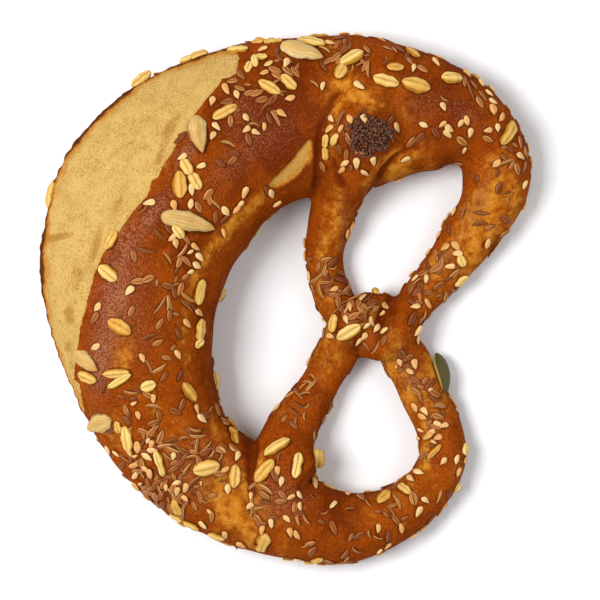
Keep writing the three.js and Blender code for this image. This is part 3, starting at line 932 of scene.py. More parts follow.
def sunflower_relief(u, around, x, y, z, rng):
    folds = np.cos(4.5 * np.cos(around) + 1.5 * u + rng.uniform(0, 6))
    y = y * (
        1
        + 0.06 * np.cos(7 * u + rng.uniform(0, 6))
        + 0.05 * np.cos(13 * u + rng.uniform(0, 6)) * np.cos(around)
    )
    y = y + rng.uniform(-0.5, 0.5) * (1 - u * u)
    z = z + 0.16 * folds * (z > 0) * (1 - u * u) + 0.15 * np.cos(1.1 * x + rng.uniform(0, 6))
    return y, z, rise(u, 0.35, 0.95) + 0 * x


def pumpkin_outline(u):
    return (1 - np.abs(u) ** 2.0) ** 0.6 * (1 - 0.22 * u)


def pumpkin_relief(u, around, x, y, z, rng):
    rim = np.exp(-(((np.abs(np.cos(around)) - 0.86) / 0.1) ** 2))
    return y, z + 0.14 * rim * (z > 0), rim + 0 * x


CREASED_RING = np.radians([0, 22, 42, 58, 70, 79, 86, 93, 100, 109, 121, 138, 158, 180, 218, 252, 288, 322])
KINDS = {
    # kind: (length, width, thickness, stations, ring angles, outline, relief, how high it sits)
    "oats": (7.2, 4.0, 0.9, 12, CREASED_RING, oat_outline, oat_relief, 0.3),
    "sesame": (2.9, 1.75, 0.55, 8, evenly(12), drop_outline, sesame_relief, 0.25),
    "linseeds": (3.9, 1.7, 0.42, 7, evenly(14), lens_outline, linseed_relief, 0.05),
    "caraway": (4.6, 1.0, 0.42, 9, evenly(24), splinter_outline, caraway_relief, 0.1),
    "sunflower_kernels": (10.0, 5.4, 1.7, 16, evenly(40), sunflower_outline, sunflower_relief, 0.3),
    "pumpkin_seed": (12.0, 6.2, 1.0, 16, evenly(28), pumpkin_outline, pumpkin_relief, 0.4),
}

# %% [markdown]
# ## Laying the seeds down
#
# A seed's place is what the eye above sees. A ray from the camera through that place finds the
# dough; the seed then lies in the skin's own plane, and a long flake also bends with it. Where
# the ray passes just beside the dough, the seed sits on the nearest flank: the flank is tried at
# a few heights above the table, and the nearest one wins. It may stand off by a set distance at
# most, which is how seeds show past the outline.

# %% Find the dough under a place
dough_faces = [tuple(p.vertices) for p in dough_mesh.polygons]
ground = BVHTree.FromPolygons(skin.tolist(), dough_faces)
EYE = Vector((*CENTRE, CAMERA_HEIGHT))
FLANK_LEVELS = (7.0, 10.0, 13.0)
OVERHANG = {"oats": 0.9, "pumpkin_seed": 0.4}
SLIGHT_OVERHANG = 0.2
FARTHEST_OFF = 2.1
STEEP = 0.5
LIFTED = 3.2
FACES_UP = 0.45
MOST_STRETCH = 1.35
UNEVEN_TILT = 0.09
OVERLAP = 0.42
PILE_STEP, PILE_MOST = 0.45, 2
CLEAR_OF_TABLE = 0.15


def land(x, y, overhang=0.0):
    """The point of the dough that shows at a plan place, or one by its nearest flank."""
    ray = Vector((x, y, READING_LEVEL)) - EYE
    spot = ground.ray_cast(EYE, ray.normalized())[0]
    if spot is None:
        places = [Vector((x, y, level)) for level in FLANK_LEVELS]
        beside = min(places, key=lambda place: ground.find_nearest(place)[3])
        spot = ground.find_nearest(beside)[0]
        aside = beside - spot
        spot = spot + aside * min(overhang, FARTHEST_OFF / aside.length)
    return spot


def lie_of_the_land(spot, reach):
    """The dough's own direction at a spot, averaged over a seed's reach."""
    total = ground.find_nearest(spot)[1].copy()
    for dx, dy in ((reach, 0), (-reach, 0), (0, reach), (0, -reach)):
        near = ground.find_nearest(spot + Vector((dx, dy, 0)))
        if (near[0] - spot).length < 2.5 * reach:
            total += near[1]
    return total.normalized()


def seed_axes(spot, angle, reach, tilt, raised, rng):
    """Directions along and across a seed and out of the dough, and how short its length looks."""
    out = lie_of_the_land(spot, reach)
    out = (out + Vector((rng.normal(0, tilt), rng.normal(0, tilt), 0))).normalized()
    if raised and -0.3 < out.z < STEEP:
        out = (out + Vector((0, 0, LIFTED * (STEEP - out.z)))).normalized()
    heading = Vector((math.cos(math.radians(angle)), math.sin(math.radians(angle)), 0))
    if out.z > FACES_UP:
        along = Vector((heading.x, heading.y, -(heading.x * out.x + heading.y * out.y) / out.z))
    else:
        along = heading - out * heading.dot(out)
    stretch = min(along.length, MOST_STRETCH) if out.z > FACES_UP else 1.0
    if along.length < 0.05:
        along = Vector((0, 0, 1)) - out * out.z
    along.normalize()
    return along, out.cross(along), out, stretch


def bend_to_dough(points, spot, along, across, out, reach):
    """Lets a seed follow the dough's curve along and across itself."""
    bends = []
    for axis, far in ((along, reach), (across, reach * 0.6)):
        drops = []
        for sign in (-1, 1):
            near = ground.find_nearest(spot + axis * far * sign)[0]
            drops.append(np.clip((near - spot).dot(out), -1.2, 0.4))
        bends.append(np.mean(drops) / far**2)
    limit = np.clip(points[:, 0] ** 2 * bends[0] + points[:, 1] ** 2 * bends[1], -1.8, 0.6)
    points[:, 2] += limit
    return points


placed = []
shapes = {kind: [] for kind in KINDS}


def crowding(spot, size):
    """How many earlier seeds this one would lie on."""
    return sum((spot - other).length < OVERLAP * (size + reach) for other, reach in placed)


def lay(kind, spot, angle, rng, length=None, width=None, shade=None, raised=False):
    """Lofts one seed and lays it on the dough."""
    usual_length, usual_width, thick, stations, ring, outline, relief, height = KINDS[kind]
    length = length or usual_length * rng.uniform(0.88, 1.1)
    width = width or usual_width * min(1.15, length / usual_length) * rng.uniform(0.88, 1.12)
    along, across, out, stretch = seed_axes(spot, angle, length * 0.3, UNEVEN_TILT, raised, rng)
    length = length * stretch
    thick = thick * rng.uniform(0.85, 1.15) * min(1.1, 0.4 + 0.6 * length / usual_length)
    points, faces, marks = loft(length, width, thick, stations, ring, outline, relief, rng)
    points = bend_to_dough(points, spot, along, across, out, length * 0.34 + 0.3)
    lift = height + PILE_STEP * min(crowding(spot, width), PILE_MOST)
    axes = np.array([along, across, out])
    world = np.array(spot) + points @ axes + np.array(out) * lift
    world[:, 2] = np.maximum(world[:, 2], CLEAR_OF_TABLE)
    tone = rng.uniform(0, 1) if shade is None else shade
    shapes[kind].append((world, faces, marks, tone))
    placed.append((spot, width))
    shadow = 0.5 if usual_length > 5 or usual_width > 1.6 else 0.4
    footprints.append((spot, along, across, out, length * shadow, width * shadow))


footprints = []
print("kinds of seed:", ", ".join(KINDS))

# %% [markdown]
# ## Where the seeds lie
#
# The baker's hand strews thickly over the twist, the shoulders and the right of the belly, and
# leaves the middle of the belly almost bare. The seeds that can be told apart are laid one by
# one. Each row is a plan place, the direction that the seed points in, and where it is unusual
# its length, width and shade (0 dark or browned, 1 pale).

# %% Oat flakes
OATS = [
    (-66.3, 39.5, -80, 5.8, 4.2), (-62.6, 30, 85, 8.2, 4.4), (-62.4, 21.5, 85, 7.5, 4),
    (-66.6, 23.4, -80, 4.9, 2.8, 0.1), (-67, 11, -50, 7.5, 4), (-62.8, 8.5, -20, 4.4, 3.6, 0.3),
    (-69.5, -1, 88, 8, 4), (-71.3, 27.5, 60, 4.5, 3), (-43, 8, 0, 3.6, 2.6, 0.5),
    (-39.5, 8.4, 15, 3.6, 2.2, 0.4), (-43.8, 10.3, -15, 3.6, 2), (-57.3, -5.3, 55, 5.6, 3.4),
    (-55, -10.3, 70, 7, 3.3), (-63.5, -20.7, -80, 5.8, 3.4), (-46, -21.5, -50, 7.6, 3.4),
    (-67.8, -10.5, -70, 3.2, 2), (-67.5, -12.5, -60, 3.2, 2), (-67, -15.5, -65, 4, 2.6),
    (-61.5, -15.5, 20, 3.5, 2.4), (-59.5, -17, -10, 3.3, 2.2), (-62.8, -14, -80, 3.5, 2.4),
    (-60.3, -31.5, -60, 6, 3.4), (-58.5, -34.5, -60, 4, 3), (-51, -46, -40, 7, 3.6),
    (-15, -65.3, 0, 8, 3.6), (-25.6, -26.2, 40, 5.6, 3.4, 0.5), (-29, -29.2, 40, 5, 3.4, 0.6),
    (-23.8, -30.4, 12, 7.6, 4.2), (-11, -28.5, 50, 4.5, 3), (4.8, -19.6, 0, 7.2, 3.7),
    (4.8, -13.6, -25, 4.4, 2.6), (15.3, -17.7, 5, 6.3, 3.9), (19, -17.3, -30, 3.2, 2.6),
    (18.4, -40, 70, 7.3, 4.2), (4, -45.8, 60, 6.2, 4.2), (-5, -46.3, -20, 6, 3.2, 0.3),
    (54, -1, 5, 6.6, 3.4, 0.4), (53, -9.2, -68, 7.6, 5, 0.45), (33, -17.7, 45, 6.2, 3.3),
    (54, -22.2, 27, 7.8, 2.8, 0.8), (33.3, -29.2, -60, 4.4, 3.6), (48.9, -32.4, 18, 7.5, 3.5),
    (52.3, -30.9, 20, 2.4, 2), (46, -35.5, 25, 3.6, 2.6, 0.3), (31.2, -38.6, -75, 7.5, 2.8),
    (33.3, -37.3, -50, 7.5, 2.3, 1.0), (33.8, -46.3, 80, 5.5, 3.6), (28.7, -11, 15, 5, 3),
    (43.5, -3, 30, 3.6, 3, 0.1), (42, -4, 60, 3, 2.4, 0.1), (71.2, -3, 80, 5, 3),
    (69.5, -10.5, 75, 5, 3.2), (65.5, -15.5, 30, 5, 3), (68, -15, 70, 4.2, 2.6),
    (-54.2, 58, -20, 7.6, 4.3), (-11, 52, -40, 4.6, 3), (37.5, 53, -35, 5.6, 1.9),
    (49.2, 46.4, 65, 4, 2.8), (52.5, 41.2, -35, 4.6, 3.3), (45, 21.2, 10, 5.6, 5.2, 0.4),
    (48, 15.7, 0, 7, 3.7), (43.8, 9.3, -48, 8.5, 3.5, 0.9), (51, 7, -30, 8, 4),
    (71, 10, -10, 5.5, 4.6, 0.3), (72.9, 25.8, -60, 3.4, 2.4), (8.8, 23.5, -50, 7.6, 4.2),
    (7, 18.7, 0, 5.2, 3), (35.4, 61.2, 8, 3.4, 2.6), (46.5, 61.3, -30, 3.2, 2.4),
    (-3.5, 29, 20, 2.8, 2.4, 0.2), (-16.5, 51.2, 35, 3.6, 2.6, 0.7),
]

# %% Sesame
SESAME = [
    (-66.3, 48, 40), (-67.8, 46.3, 70), (-68.3, 43.5, 50), (-54.3, 44.2, -25), (-55.4, 45.7, 25),
    (-52.2, 47.2, 0), (-47.1, 46.5, -15, 2), (-52.4, 41.3, 60), (-50.8, 41.1, 60), (-53.2, 39.2, -40),
    (-58, 38.5, 40), (-52.1, 34.1, 75), (-69.9, 34.4, 45), (-41.8, 30.7, -55), (-67.1, 28.4, 0, 2.4),
    (-50, 26.6, 35), (-50.7, 17.4, 40), (-59.8, 14.5, 65, 3.6, 2, 1), (-50, 13.5, 30), (-47, 11.5, -15),
    (-49.2, 8.4, 45), (-46.3, 8.3, -35), (-39.8, 22, 20), (-36.3, 20.2, 70), (-38.3, 17.5, 10),
    (-37.7, 14.2, -50), (-35.7, 13.7, -40), (-57.8, 4.4, -5), (-70.1, 4.3, 85), (-62.4, -6.9, -15),
    (-53, -4.2, -65), (-48.3, -5.6, 65, 3.3, 1.9, 0.1), (-43.8, -9.9, 10), (-42, -11.8, 75),
    (-61.3, -11.8, -50), (-58.7, -12.5, -60), (-65, -14, -55), (-51.3, -18.9, 30, 2.7),
    (-52.3, -22, 35, 3.6), (-45.5, -15.2, 45), (-42.2, -14.7, -40), (-41.5, -23, 55),
    (-38.8, -23.5, -20), (-48.3, -25.3, -5), (-31.5, -31, -50), (-30, -25.3, -60), (-57.9, 55, -15),
    (-54.9, 54.6, 15), (-59.6, 52.3, 25, 3.3, 2.6, 0), (-61.8, 52, 70), (-63.9, 50.5, 60),
    (-53.7, 52, -70), (-48, 62.2, 65), (-45, 56, -35), (-40.5, 64.7, -15), (-22.5, 57.3, -5),
    (-20.1, 48.9, 50, 3.6), (-18.2, 49.7, -80), (-19.3, 46.1, -45), (-14.4, 48.2, -75), (-9.7, 42.3, 5),
    (-9.3, 39.3, -35), (-3, 44, 40, 3.4, 1.6, 0), (-1.5, 40.6, -75), (5, 42.3, -25, 3.5),
    (7.5, 42.7, 10), (14.3, 43.3, 20), (16.6, 42.4, 70), (-0.2, 32.1, 60, 2.4, 2, 0),
    (1.9, 31.7, -40, 2), (6.6, 33.2, -40), (6.3, 30.9, -25), (4.6, 29.2, 30), (6, 28, -40),
    (9, 27.8, -20), (10.8, 26.5, -30), (1.8, 22.6, 20), (5.4, 22.3, 30), (10.7, 18.7, 80),
    (-2.5, 17.3, -60), (-23.3, -2.7, -45), (-25.8, -4.6, 30), (-24.8, -12, -10, 3.6),
    (-21.3, -12.8, -35), (-19.7, -13.6, -30), (-18.7, -16.4, 45), (-12.5, -16, 25, 2.8, 1.7, 0.1),
    (-9, -29.8, -35), (-7.3, -28.6, 20), (-23, -26.7, 15, 3.6), (-18.9, -26.3, 0), (-17.8, -30.8, 25),
    (-7.4, -23, 60, 2.8, 1.7, 0.1), (-4.6, -21.4, 50), (-2.3, -21.7, 65), (-5.8, -24.3, -50, 2),
    (-0.3, -23.2, -60, 2), (10.8, -18.9, 60), (14.2, -21.6, 50), (-17.2, -37.8, -70, 3.6, 1.9, 1),
    (8, -38.9, -35, 3.4), (13.9, -47, -25), (48.4, -1.3, -10), (57.8, -2.2, 10, 3.2, 1.8, 0.9),
    (52.8, -4, -50), (68.8, -7.2, 50, 3, 2, 1), (39.7, -12.9, 55, 3.4), (37.3, -14.8, 25),
    (59.5, -14, -5, 3, 1.8, 0.2), (62.4, -13.6, 60), (60.9, -15.9, -5), (58.5, -16.7, -60),
    (51.4, -18.8, 0, 2.4), (23.3, -22.7, 40), (25.9, -32.3, 35), (41.9, -30.5, 30), (49.2, -25.4, -10),
    (48.3, -26.6, -15, 2), (52.8, -26, 65, 3.7), (56.3, -25.7, 60), (50.7, -29.2, 10, 3.6),
    (55.7, -29.3, -55), (53.4, -34.6, 60), (52.7, -37, 35), (25, -45.5, -50), (58.5, -28.5, -30),
    (61.5, -27.5, 45), (38.6, 59.4, -5), (42, 60.4, -10), (39.7, 55.8, -30), (52, 58.5, -40, 2),
    (51.4, 52.7, 65), (54.8, 51.5, -20, 3.5), (30, 54.3, -60), (29.8, 52.5, 80), (33.5, 53.2, -60),
    (34.9, 52.3, 75, 2), (32.5, 51, -50), (33.5, 50.6, -45, 3.4), (26.9, 48.3, 50), (28.3, 48, 70),
    (26.3, 45.4, 35), (32.2, 48.3, 75, 2), (43.9, 49.6, 85), (46, 47.8, 60), (60.3, 47.4, 20),
    (65.7, 44.5, -35), (67.5, 42.5, -35, 2), (61.4, 41, 10), (57.2, 27.5, -35), (52.2, 21.5, 20),
    (59.1, 18.5, 20), (56, 17.7, 40), (56.9, 15.5, -50), (53.2, 12.2, 0), (50.5, 10.5, 10),
    (63.2, 15.5, 55), (66.8, 17, 25), (67, 19.2, 40), (65.2, 11.4, 15), (61.5, 4.7, -40),
    (67.5, 9.3, 0), (72.4, 4.2, 70), (70.5, -0.7, 20), (47.6, -6, 75), (46.4, -2.8, 65),
]

# %% Brown seeds
LINSEEDS = [
    (-63, 49, 50, 4), (-61, 48.5, 40, 4), (-65.5, 46, 45, 3.3), (-49.5, 45.5, 60, 3.8, 2.2, 1),
    (-50.5, 37.8, 45, 4, 1.8, 0), (-48.3, 33.5, -35, 4), (-46.5, 31.3, -25, 4), (-67.5, 31, 65, 3.8),
    (-44.5, 14, 30), (-51.8, 24.7, -30), (-71.5, 20.5, 80), (-71.7, 24, 70), (-51.3, 52.5, 75, 3.6),
    (-52, 61.5, 20, 4), (-49.5, 63.5, 20, 4), (-45.5, 64, 0, 3.4), (-47, 58, 55, 3),
    (-39.8, 51.2, 45, 2.3, 2, 0), (-30, 61.5, 70, 4), (-60.3, -6, 60), (-46.3, -8.8, 35, 4),
    (-60, -9.5, 80, 4.2), (-58.5, -8.5, 70), (-51.5, -9, -30), (-51.2, -11.8, -65, 4), (-57, -18.8, 50),
    (-53.2, -18.3, 80), (-54.9, -20.8, -70), (-49, -21.3, -65), (-43.7, -19.4, 10),
    (-34.9, -16.7, 85, 4), (-39.5, -13.5, 30, 4), (-33, -17, -40), (-31.7, -20, 65),
    (-37, -32, -20, 3, 1.4, 0), (-36, -33, -40, 3, 1.4, 0), (-26.3, -5.9, 35),
    (-16.3, -16.3, -40, 4, 1.8, 0), (-16.5, -18.9, 5, 3.5), (-21, -21.3, 20), (-22.5, -22, -30),
    (-18.5, -24, 35), (-9, -25.8, 50), (-2.5, -26.6, -10, 4), (0.3, -27, -15, 2.2), (9.5, -20.3, 50, 3),
    (5, -25, -10, 4), (6.5, -26.5, 20), (10, -27, 30, 3), (4.8, -28.5, 85, 4), (-1.8, -39.5, 25, 3.8),
    (-11, -31, 50, 4), (3.8, -34.5, -55), (5, -37.2, -75, 4), (13.5, -37.5, -15, 3.5),
    (14.3, -40.8, 45, 2.8), (-0.9, -44.5, -45, 4), (17.2, -47.3, -25, 4), (46.4, -2.8, 65, 3.7, 1.6, 1),
    (47.6, -6.3, 80, 3.2, 1.6, 1), (60.5, -6.3, -70, 3), (66.5, -5.3, 0), (43.6, -15.8, 45, 2.7),
    (49.5, -16, 75, 3.5), (36.8, -19, -10, 4), (39, -20.5, 75, 4), (24, -12.8, 10, 4),
    (36.5, -9, 30, 4), (39.3, -6.7, 70), (29, -21, -15), (30, -25.3, -25, 3.5), (46, -28.3, 80, 3.5),
    (48.3, -23.3, 70, 3), (41.2, -34, 30), (43.8, -33.5, 60), (47, -37, -30, 4), (35.8, -41.7, 0),
    (-26, 61.5, -50, 4), (-17.3, 46.9, 35, 3), (-13.2, 44.5, -50, 4.8, 2.2), (-24.5, 46, 20, 3.2),
    (-11, 48.5, -50, 3), (-8.5, 46, -50, 4), (-5.5, 48.5, 0), (-6.1, 43.5, -75, 3.2),
    (-5.8, 46.5, -60, 2.5), (2, 40.3, -20, 4.6, 2.2), (13, 41, -50, 4), (18.8, 44.3, 60, 4),
    (9.3, 33.6, -15, 3.3), (12, 29, 50, 3.5), (48.8, 59, 25, 3, 1.6, 0), (30.6, 52, 80, 3.5),
    (24.4, 52.5, 85, 3.5), (21.5, 50.5, 70), (51.5, 49.5, 20, 4.6, 2.6), (64.3, 36.2, -50, 4),
    (65.2, 34, -20, 3), (63.5, 28.8, 30, 4.6), (68.9, 23, -65, 3.6), (73, 29, 80),
    (-63.2, 3.8, 45, 3.6), (-66.5, 6.6, -35, 4.2), (-69, 8.5, -30, 4), (-65, 4.6, -40, 3.5),
    (-65.4, 15.2, -20, 4), (-41, 12, 20, 3.5), (-35.5, 8.3, 30, 3.6), (-66, 43.3, 10, 3.2),
]
CARAWAY = [
    (-64, 45.3, 30, 5.5), (-60.4, 38.5, 70, 2.7), (-64.5, 16.3, 10), (-50, 11, -15, 5),
    (-45.7, 58.8, -60, 5), (-38.3, 58.1, -12, 4, 1.5, 0), (-30, 49.5, -10, 4.5), (-46.5, -7, 40, 5),
    (-49.8, -10, -40, 4.5), (-37.2, -19, 80, 4.3), (-20, -19.8, 60, 4.5), (6.8, -22.5, 65, 5),
    (9.5, -22.5, 55, 5), (9.5, -28, 10, 4.5), (10.5, -30, -25, 6), (-4.2, -36.8, 85, 6.2),
    (-9.3, -33.5, 55, 4.5), (-15.2, -39.5, -40, 4.5), (20, -31.3, -60, 4.5), (47.5, -12.7, 5, 5),
    (52, -15.8, -20, 4.5), (28, -30, 35, 4.5), (45.5, -25, -20, 4.2), (44.8, -26.2, -20, 4),
    (-8.5, 40, -40, 3), (0.5, 43.3, -10, 3), (11.5, 31.5, -20, 4.5), (49.7, 56.3, -10, 4),
    (25, 51.8, -80, 4), (22.7, 50.3, 60), (53.2, 45, 35, 5), (56.5, 44, 40, 4), (63.7, 41.6, 80, 3),
    (63.3, 39.2, 25, 2.5), (54.8, 37.3, 50, 2.8), (57.6, 32.2, -70, 3), (72.5, 33.5, -75, 5),
    (55.7, 21.7, 50, 2.6), (46.5, 10.5, 0, 3), (31, 13.5, 70, 4), (33, 12.5, 60, 4),
    (28, 14.5, -70, 3.5), (-58, 2, 60, 3), (74, 2, 55, 3),
]

# %% Big kernels
SUNFLOWER_KERNELS = [
    (-66.3, -3, 83, 12.5, 6, 0.9), (-38.7, -27.3, 20, 10.5, 5, 0.5), (-13.8, -26.1, 86, 15.2, 5.8, 0.6),
    (29.5, -47.3, 60, 8, 4.4, 0.4), (46, -40.7, -55, 9, 5.5, 0.5),
]
PUMPKIN_SEED = [(14.0, 53.4, 20, 12, 5.0)]
print(
    "seeds told apart:",
    sum(map(len, (OATS, SESAME, LINSEEDS, CARAWAY, SUNFLOWER_KERNELS, PUMPKIN_SEED))),
)

# %% Lay the seeds that can be told apart
DICE_SEED = 7

dice = np.random.default_rng(DICE_SEED)
BY_HAND = (
    ("pumpkin_seed", PUMPKIN_SEED), ("sunflower_kernels", SUNFLOWER_KERNELS), ("oats", OATS),
    ("sesame", SESAME), ("linseeds", LINSEEDS), ("caraway", CARAWAY),
)
for kind, rows in BY_HAND:
    for x, y, angle, *size in rows:
        size = dict(zip(("length", "width", "shade"), size))
        lay(kind, land(x, y, OVERHANG.get(kind, SLIGHT_OVERHANG)), angle, dice, raised=True, **size)
print("laid by hand:", len(placed))

# %% [markdown]
# Between them lie more brown seeds than anyone would count. They are strewn at random over
# ovals where the real ones are thick, each only where it finds room. The flanks and the walls
# of the holes, which the camera hardly sees, get a thinner strewing of every kind, so that the
# pretzel is as real from the side as from above. A fixed seed keeps each run the same.

# %% Strew the rest
THICK = [
    # x, y, half length, half width, angle, how many, share of linseeds, caraway and sesame
    (57, -12, 13, 9, 15, 48, (0.6, 0.3, 0.1)), (54, -25, 9, 7, -30, 30, (0.6, 0.3, 0.1)),
    (63, -19, 6, 5, 30, 22, (0.7, 0.3, 0)), (-2, 19, 6, 4, 30, 16, (0.8, 0.2, 0)),
    (-6, 11.5, 5, 3, 20, 5, (0.8, 0.2, 0)), (60, 12, 9, 8, 60, 18, (0.6, 0.3, 0.1)),
    (42, -31, 7, 7, 0, 12, (0.6, 0.3, 0.1)), (2, 25, 5, 5, 0, 28, (0.6, 0.3, 0.1)),
    (30, 13.5, 9, 4, -20, 12, (0.4, 0.6, 0)), (-51, -15, 10, 8, -50, 9, (0.65, 0.3, 0.05)),
    (-68, 10, 9, 4, 85, 12, (0.6, 0.4, 0)), (-60, -8, 7, 6, 0, 9, (0.7, 0.3, 0)),
    (2, -27, 13, 5, 0, 9, (0.6, 0.4, 0)), (20, 45, 10, 4, 40, 15, (0.7, 0.2, 0.1)),
    (-12, 45, 9, 4, -35, 9, (0.7, 0.3, 0)), (-2, 41, 6, 4, 0, 5, (0.7, 0.3, 0)),
    (32, 51, 8, 4, 0, 7, (0.7, 0.3, 0)), (-48, 58, 7, 5, 0, 7, (0.7, 0.3, 0)),
    (-71, 22, 10, 3, 88, 7, (0.7, 0.3, 0)), (58, 42, 7, 6, -50, 7, (0.6, 0.3, 0.1)),
    (-7, 14, 8, 3, 10, 7, (0.6, 0.4, 0)), (65, 25, 5, 6, 80, 5, (0.6, 0.4, 0)),
    (38, -12, 8, 5, 30, 5, (0.7, 0.3, 0)), (-30, 58, 10, 4, -10, 5, (0.7, 0.3, 0)),
    (22, -26, 10, 6, 10, 6, (0.7, 0.3, 0)), (-40, 18, 5, 5, 0, 3, (1, 0, 0)),
    (68, 36, 4, 6, 80, 4, (0.7, 0.3, 0)),
]
NEAREST_NEIGHBOUR = 1.45
TRIES = 12
LOWEST_STREWN = 2
CRUMB_MARGIN = -0.6


def has_room(spot, gap):
    return all((spot - other).length > gap + 0.3 * (reach - 1.8) for other, reach in placed)


def strew(ovals, rng):
    """Brown seeds at random over ovals, each where it finds room."""
    for x, y, long, wide, angle, count, shares in ovals:
        turn = math.radians(angle)
        for _ in range(count):
            for _ in range(TRIES):
                r, t = math.sqrt(rng.uniform(0, 1)), rng.uniform(0, 2 * math.pi)
                u, v = long * r * math.cos(t), wide * r * math.sin(t)
                spot = land(
                    x + u * math.cos(turn) - v * math.sin(turn),
                    y + u * math.sin(turn) + v * math.cos(turn),
                )
                if spot.z > LOWEST_STREWN and has_room(spot, NEAREST_NEIGHBOUR) and not on_crumb(spot):
                    kind = rng.choice(
                        ("linseeds", "caraway", "sesame"), p=np.array(shares) / sum(shares)
                    )
                    length = KINDS[kind][0] * rng.uniform(0.5, 1.1)
                    lay(str(kind), spot, rng.uniform(0, 180), rng, length=length)
                    break


def on_crumb(spot):
    depth, _ = crumb_depth(np.array([spot]))
    return depth[0] > CRUMB_MARGIN


FLANK_COUNT = 420
FLANK_LOW, FLANK_HIGH = 2.5, 12.5
FLANK_LEAN = (-0.75, 0.4)
TURNED_AWAY = -0.1
OAT_ROOM, SEED_ROOM = 4.0, 2.4
FLANK_SHARES = (("linseeds", 0.42), ("sesame", 0.3), ("caraway", 0.14), ("oats", 0.14))


def strew_flanks(rng):
    """Seeds of every kind on the sides that face the table's edge or the holes."""
    middles = np.array([np.mean(skin[list(f)], 0) for f in dough_faces])
    normals = np.array([p.normal for p in dough_mesh.polygons])
    fit = (middles[:, 2] > FLANK_LOW) & (middles[:, 2] < FLANK_HIGH)
    fit &= (normals[:, 2] > FLANK_LEAN[0]) & (normals[:, 2] < FLANK_LEAN[1])
    chosen = rng.choice(np.flatnonzero(fit), FLANK_COUNT, replace=False)
    names, shares = zip(*FLANK_SHARES)
    laid = 0
    for index in chosen:
        spot = Vector(middles[index])
        kind = str(rng.choice(names, p=shares))
        hidden = normals[index, 2] < TURNED_AWAY
        if kind == "oats" and not hidden:
            kind = "sesame"
        if has_room(spot, OAT_ROOM if kind == "oats" else SEED_ROOM) and not on_crumb(spot):
            lay(kind, spot, rng.uniform(0, 180), rng)
            laid += 1
    return laid


strew(THICK, dice)
print("with the strewn ones:", len(placed))
print("on the flanks:", strew_flanks(dice))

# %% [markdown]
# ## Poppy
#
# One pinch of poppy fell in a heap on the left shoulder. Its grains are about 0.7 mm across and
# kidney shaped, and they pile up where many of them meet.

# %% Poppy grains
POPPY_PLACE = (-46.7, 19.6)
POPPY_RADIUS = 6.2
POPPY_COUNT = 700
GRAIN = 0.34
POPPY_PILE = 1.3
GRAIN_SPACING = 1.3
GRAIN_LIFT = 0.1


def kidney(radius, rng):
    """A slightly dented ball of few faces."""
    work = bmesh.new()
    bmesh.ops.create_icosphere(work, subdivisions=2, radius=radius)
    points = np.array([v.co for v in work.verts])
    faces = [tuple(v.index for v in f.verts) for f in work.faces]
    work.free()
    dent = np.exp(-((points[:, 0] / radius - 1) ** 2) * 3)
    points *= (1 - 0.3 * dent)[:, None] * np.array([1.15, 0.9, 0.85])
    turn = Vector(rng.normal(size=3)).to_track_quat("Z", "Y").to_matrix()
    return points @ np.array(turn), faces


def heap_of_poppy(rng):
    """Grains that settle on the dough or on the grains already there."""
    settled, made = [], []
    for k in range(POPPY_COUNT):
        turn = rng.uniform(0, 2 * math.pi)
        edge = 0.92 + 0.12 * math.cos(3 * turn + 1) + 0.08 * math.cos(7 * turn)
        reach = POPPY_RADIUS * math.sqrt(rng.uniform(0, 1)) * (1.25 if k % 9 == 0 else edge)
        place = (POPPY_PLACE[0] + reach * math.cos(turn) * 0.95, POPPY_PLACE[1] + reach * math.sin(turn))
        spot = land(*place)
        out = lie_of_the_land(spot, 2.0)
        radius = GRAIN * rng.uniform(0.8, 1.1)
        lift = radius * 0.55
        for other in settled:
            while (spot + out * lift - other).length < radius * GRAIN_SPACING and lift < POPPY_PILE:
                lift += GRAIN_LIFT
        centre = spot + out * lift
        settled.append(centre)
        points, faces = kidney(radius, rng)
        made.append((points + np.array(centre), faces, np.zeros((len(points), 3)), rng.uniform(0, 1)))
    return made


shapes["poppy"] = heap_of_poppy(dice)
print("poppy grains:", len(shapes["poppy"]))

# %% [markdown]
# ## Joined meshes
#
# All seeds of a kind become one mesh. Each point keeps the tone of its seed and the mark of its
# relief as attributes, so one material can still make every seed a little different.

# %% Join and place
def join(name, seeds):
    """One object from many small meshes, in metres."""
    points, faces, marks, tones, start = [], [], [], [], 0
    for world, own_faces, own_marks, tone in seeds:
        points.append(world)
        faces += [tuple(start + i for i in face) for face in own_faces]
        marks.append(own_marks)
        tones.append(np.full(len(world), tone))
        start += len(world)
    mesh = bpy.data.meshes.new(name)
    mesh.from_pydata((np.vstack(points) * MM).tolist(), [], faces)
    mesh.polygons.foreach_set("use_smooth", np.ones(len(faces), bool))
    for k, attribute in enumerate(("across", "along", "mark")):
        store(mesh, attribute, np.vstack(marks)[:, k])
    store(mesh, "tone", np.concatenate(tones))
    made = bpy.data.objects.new(name, mesh)
    bpy.context.scene.collection.objects.link(made)
    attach(made, "root")
    triangles = sum(len(f) - 2 for f in faces)
    top = max(p[:, 2].max() for p in points)
    print(f"{name}: {len(seeds)} seeds, {triangles} triangles, highest point {top:.1f} mm")
    return made


FAR_FROM_SEEDS = 3.0
GAP_REACH = 1.6


def gap_to_seeds(points):
    """Distance from each point of the skin to the outline of the nearest seed, in mm."""
    tree = kdtree.KDTree(len(points))
    for index, point in enumerate(points.tolist()):
        tree.insert(point, index)
    tree.balance()
    gap = np.full(len(points), FAR_FROM_SEEDS)
    for spot, along, across, out, long, wide in footprints:
        found = tree.find_range(spot, long + GAP_REACH)
        index = np.array([i for _, i, _ in found], int)
        if not len(index):
            continue
        offset = points[index] - np.array(spot)
        u, v = offset @ np.array(along), offset @ np.array(across)
        ring = np.hypot(u / long, v / wide)
        reach = np.hypot(u, v)
        outside = reach * (1 - 1 / np.maximum(ring, 0.05))
        gap[index] = np.minimum(gap[index], np.maximum(outside, -0.5))
    return gap


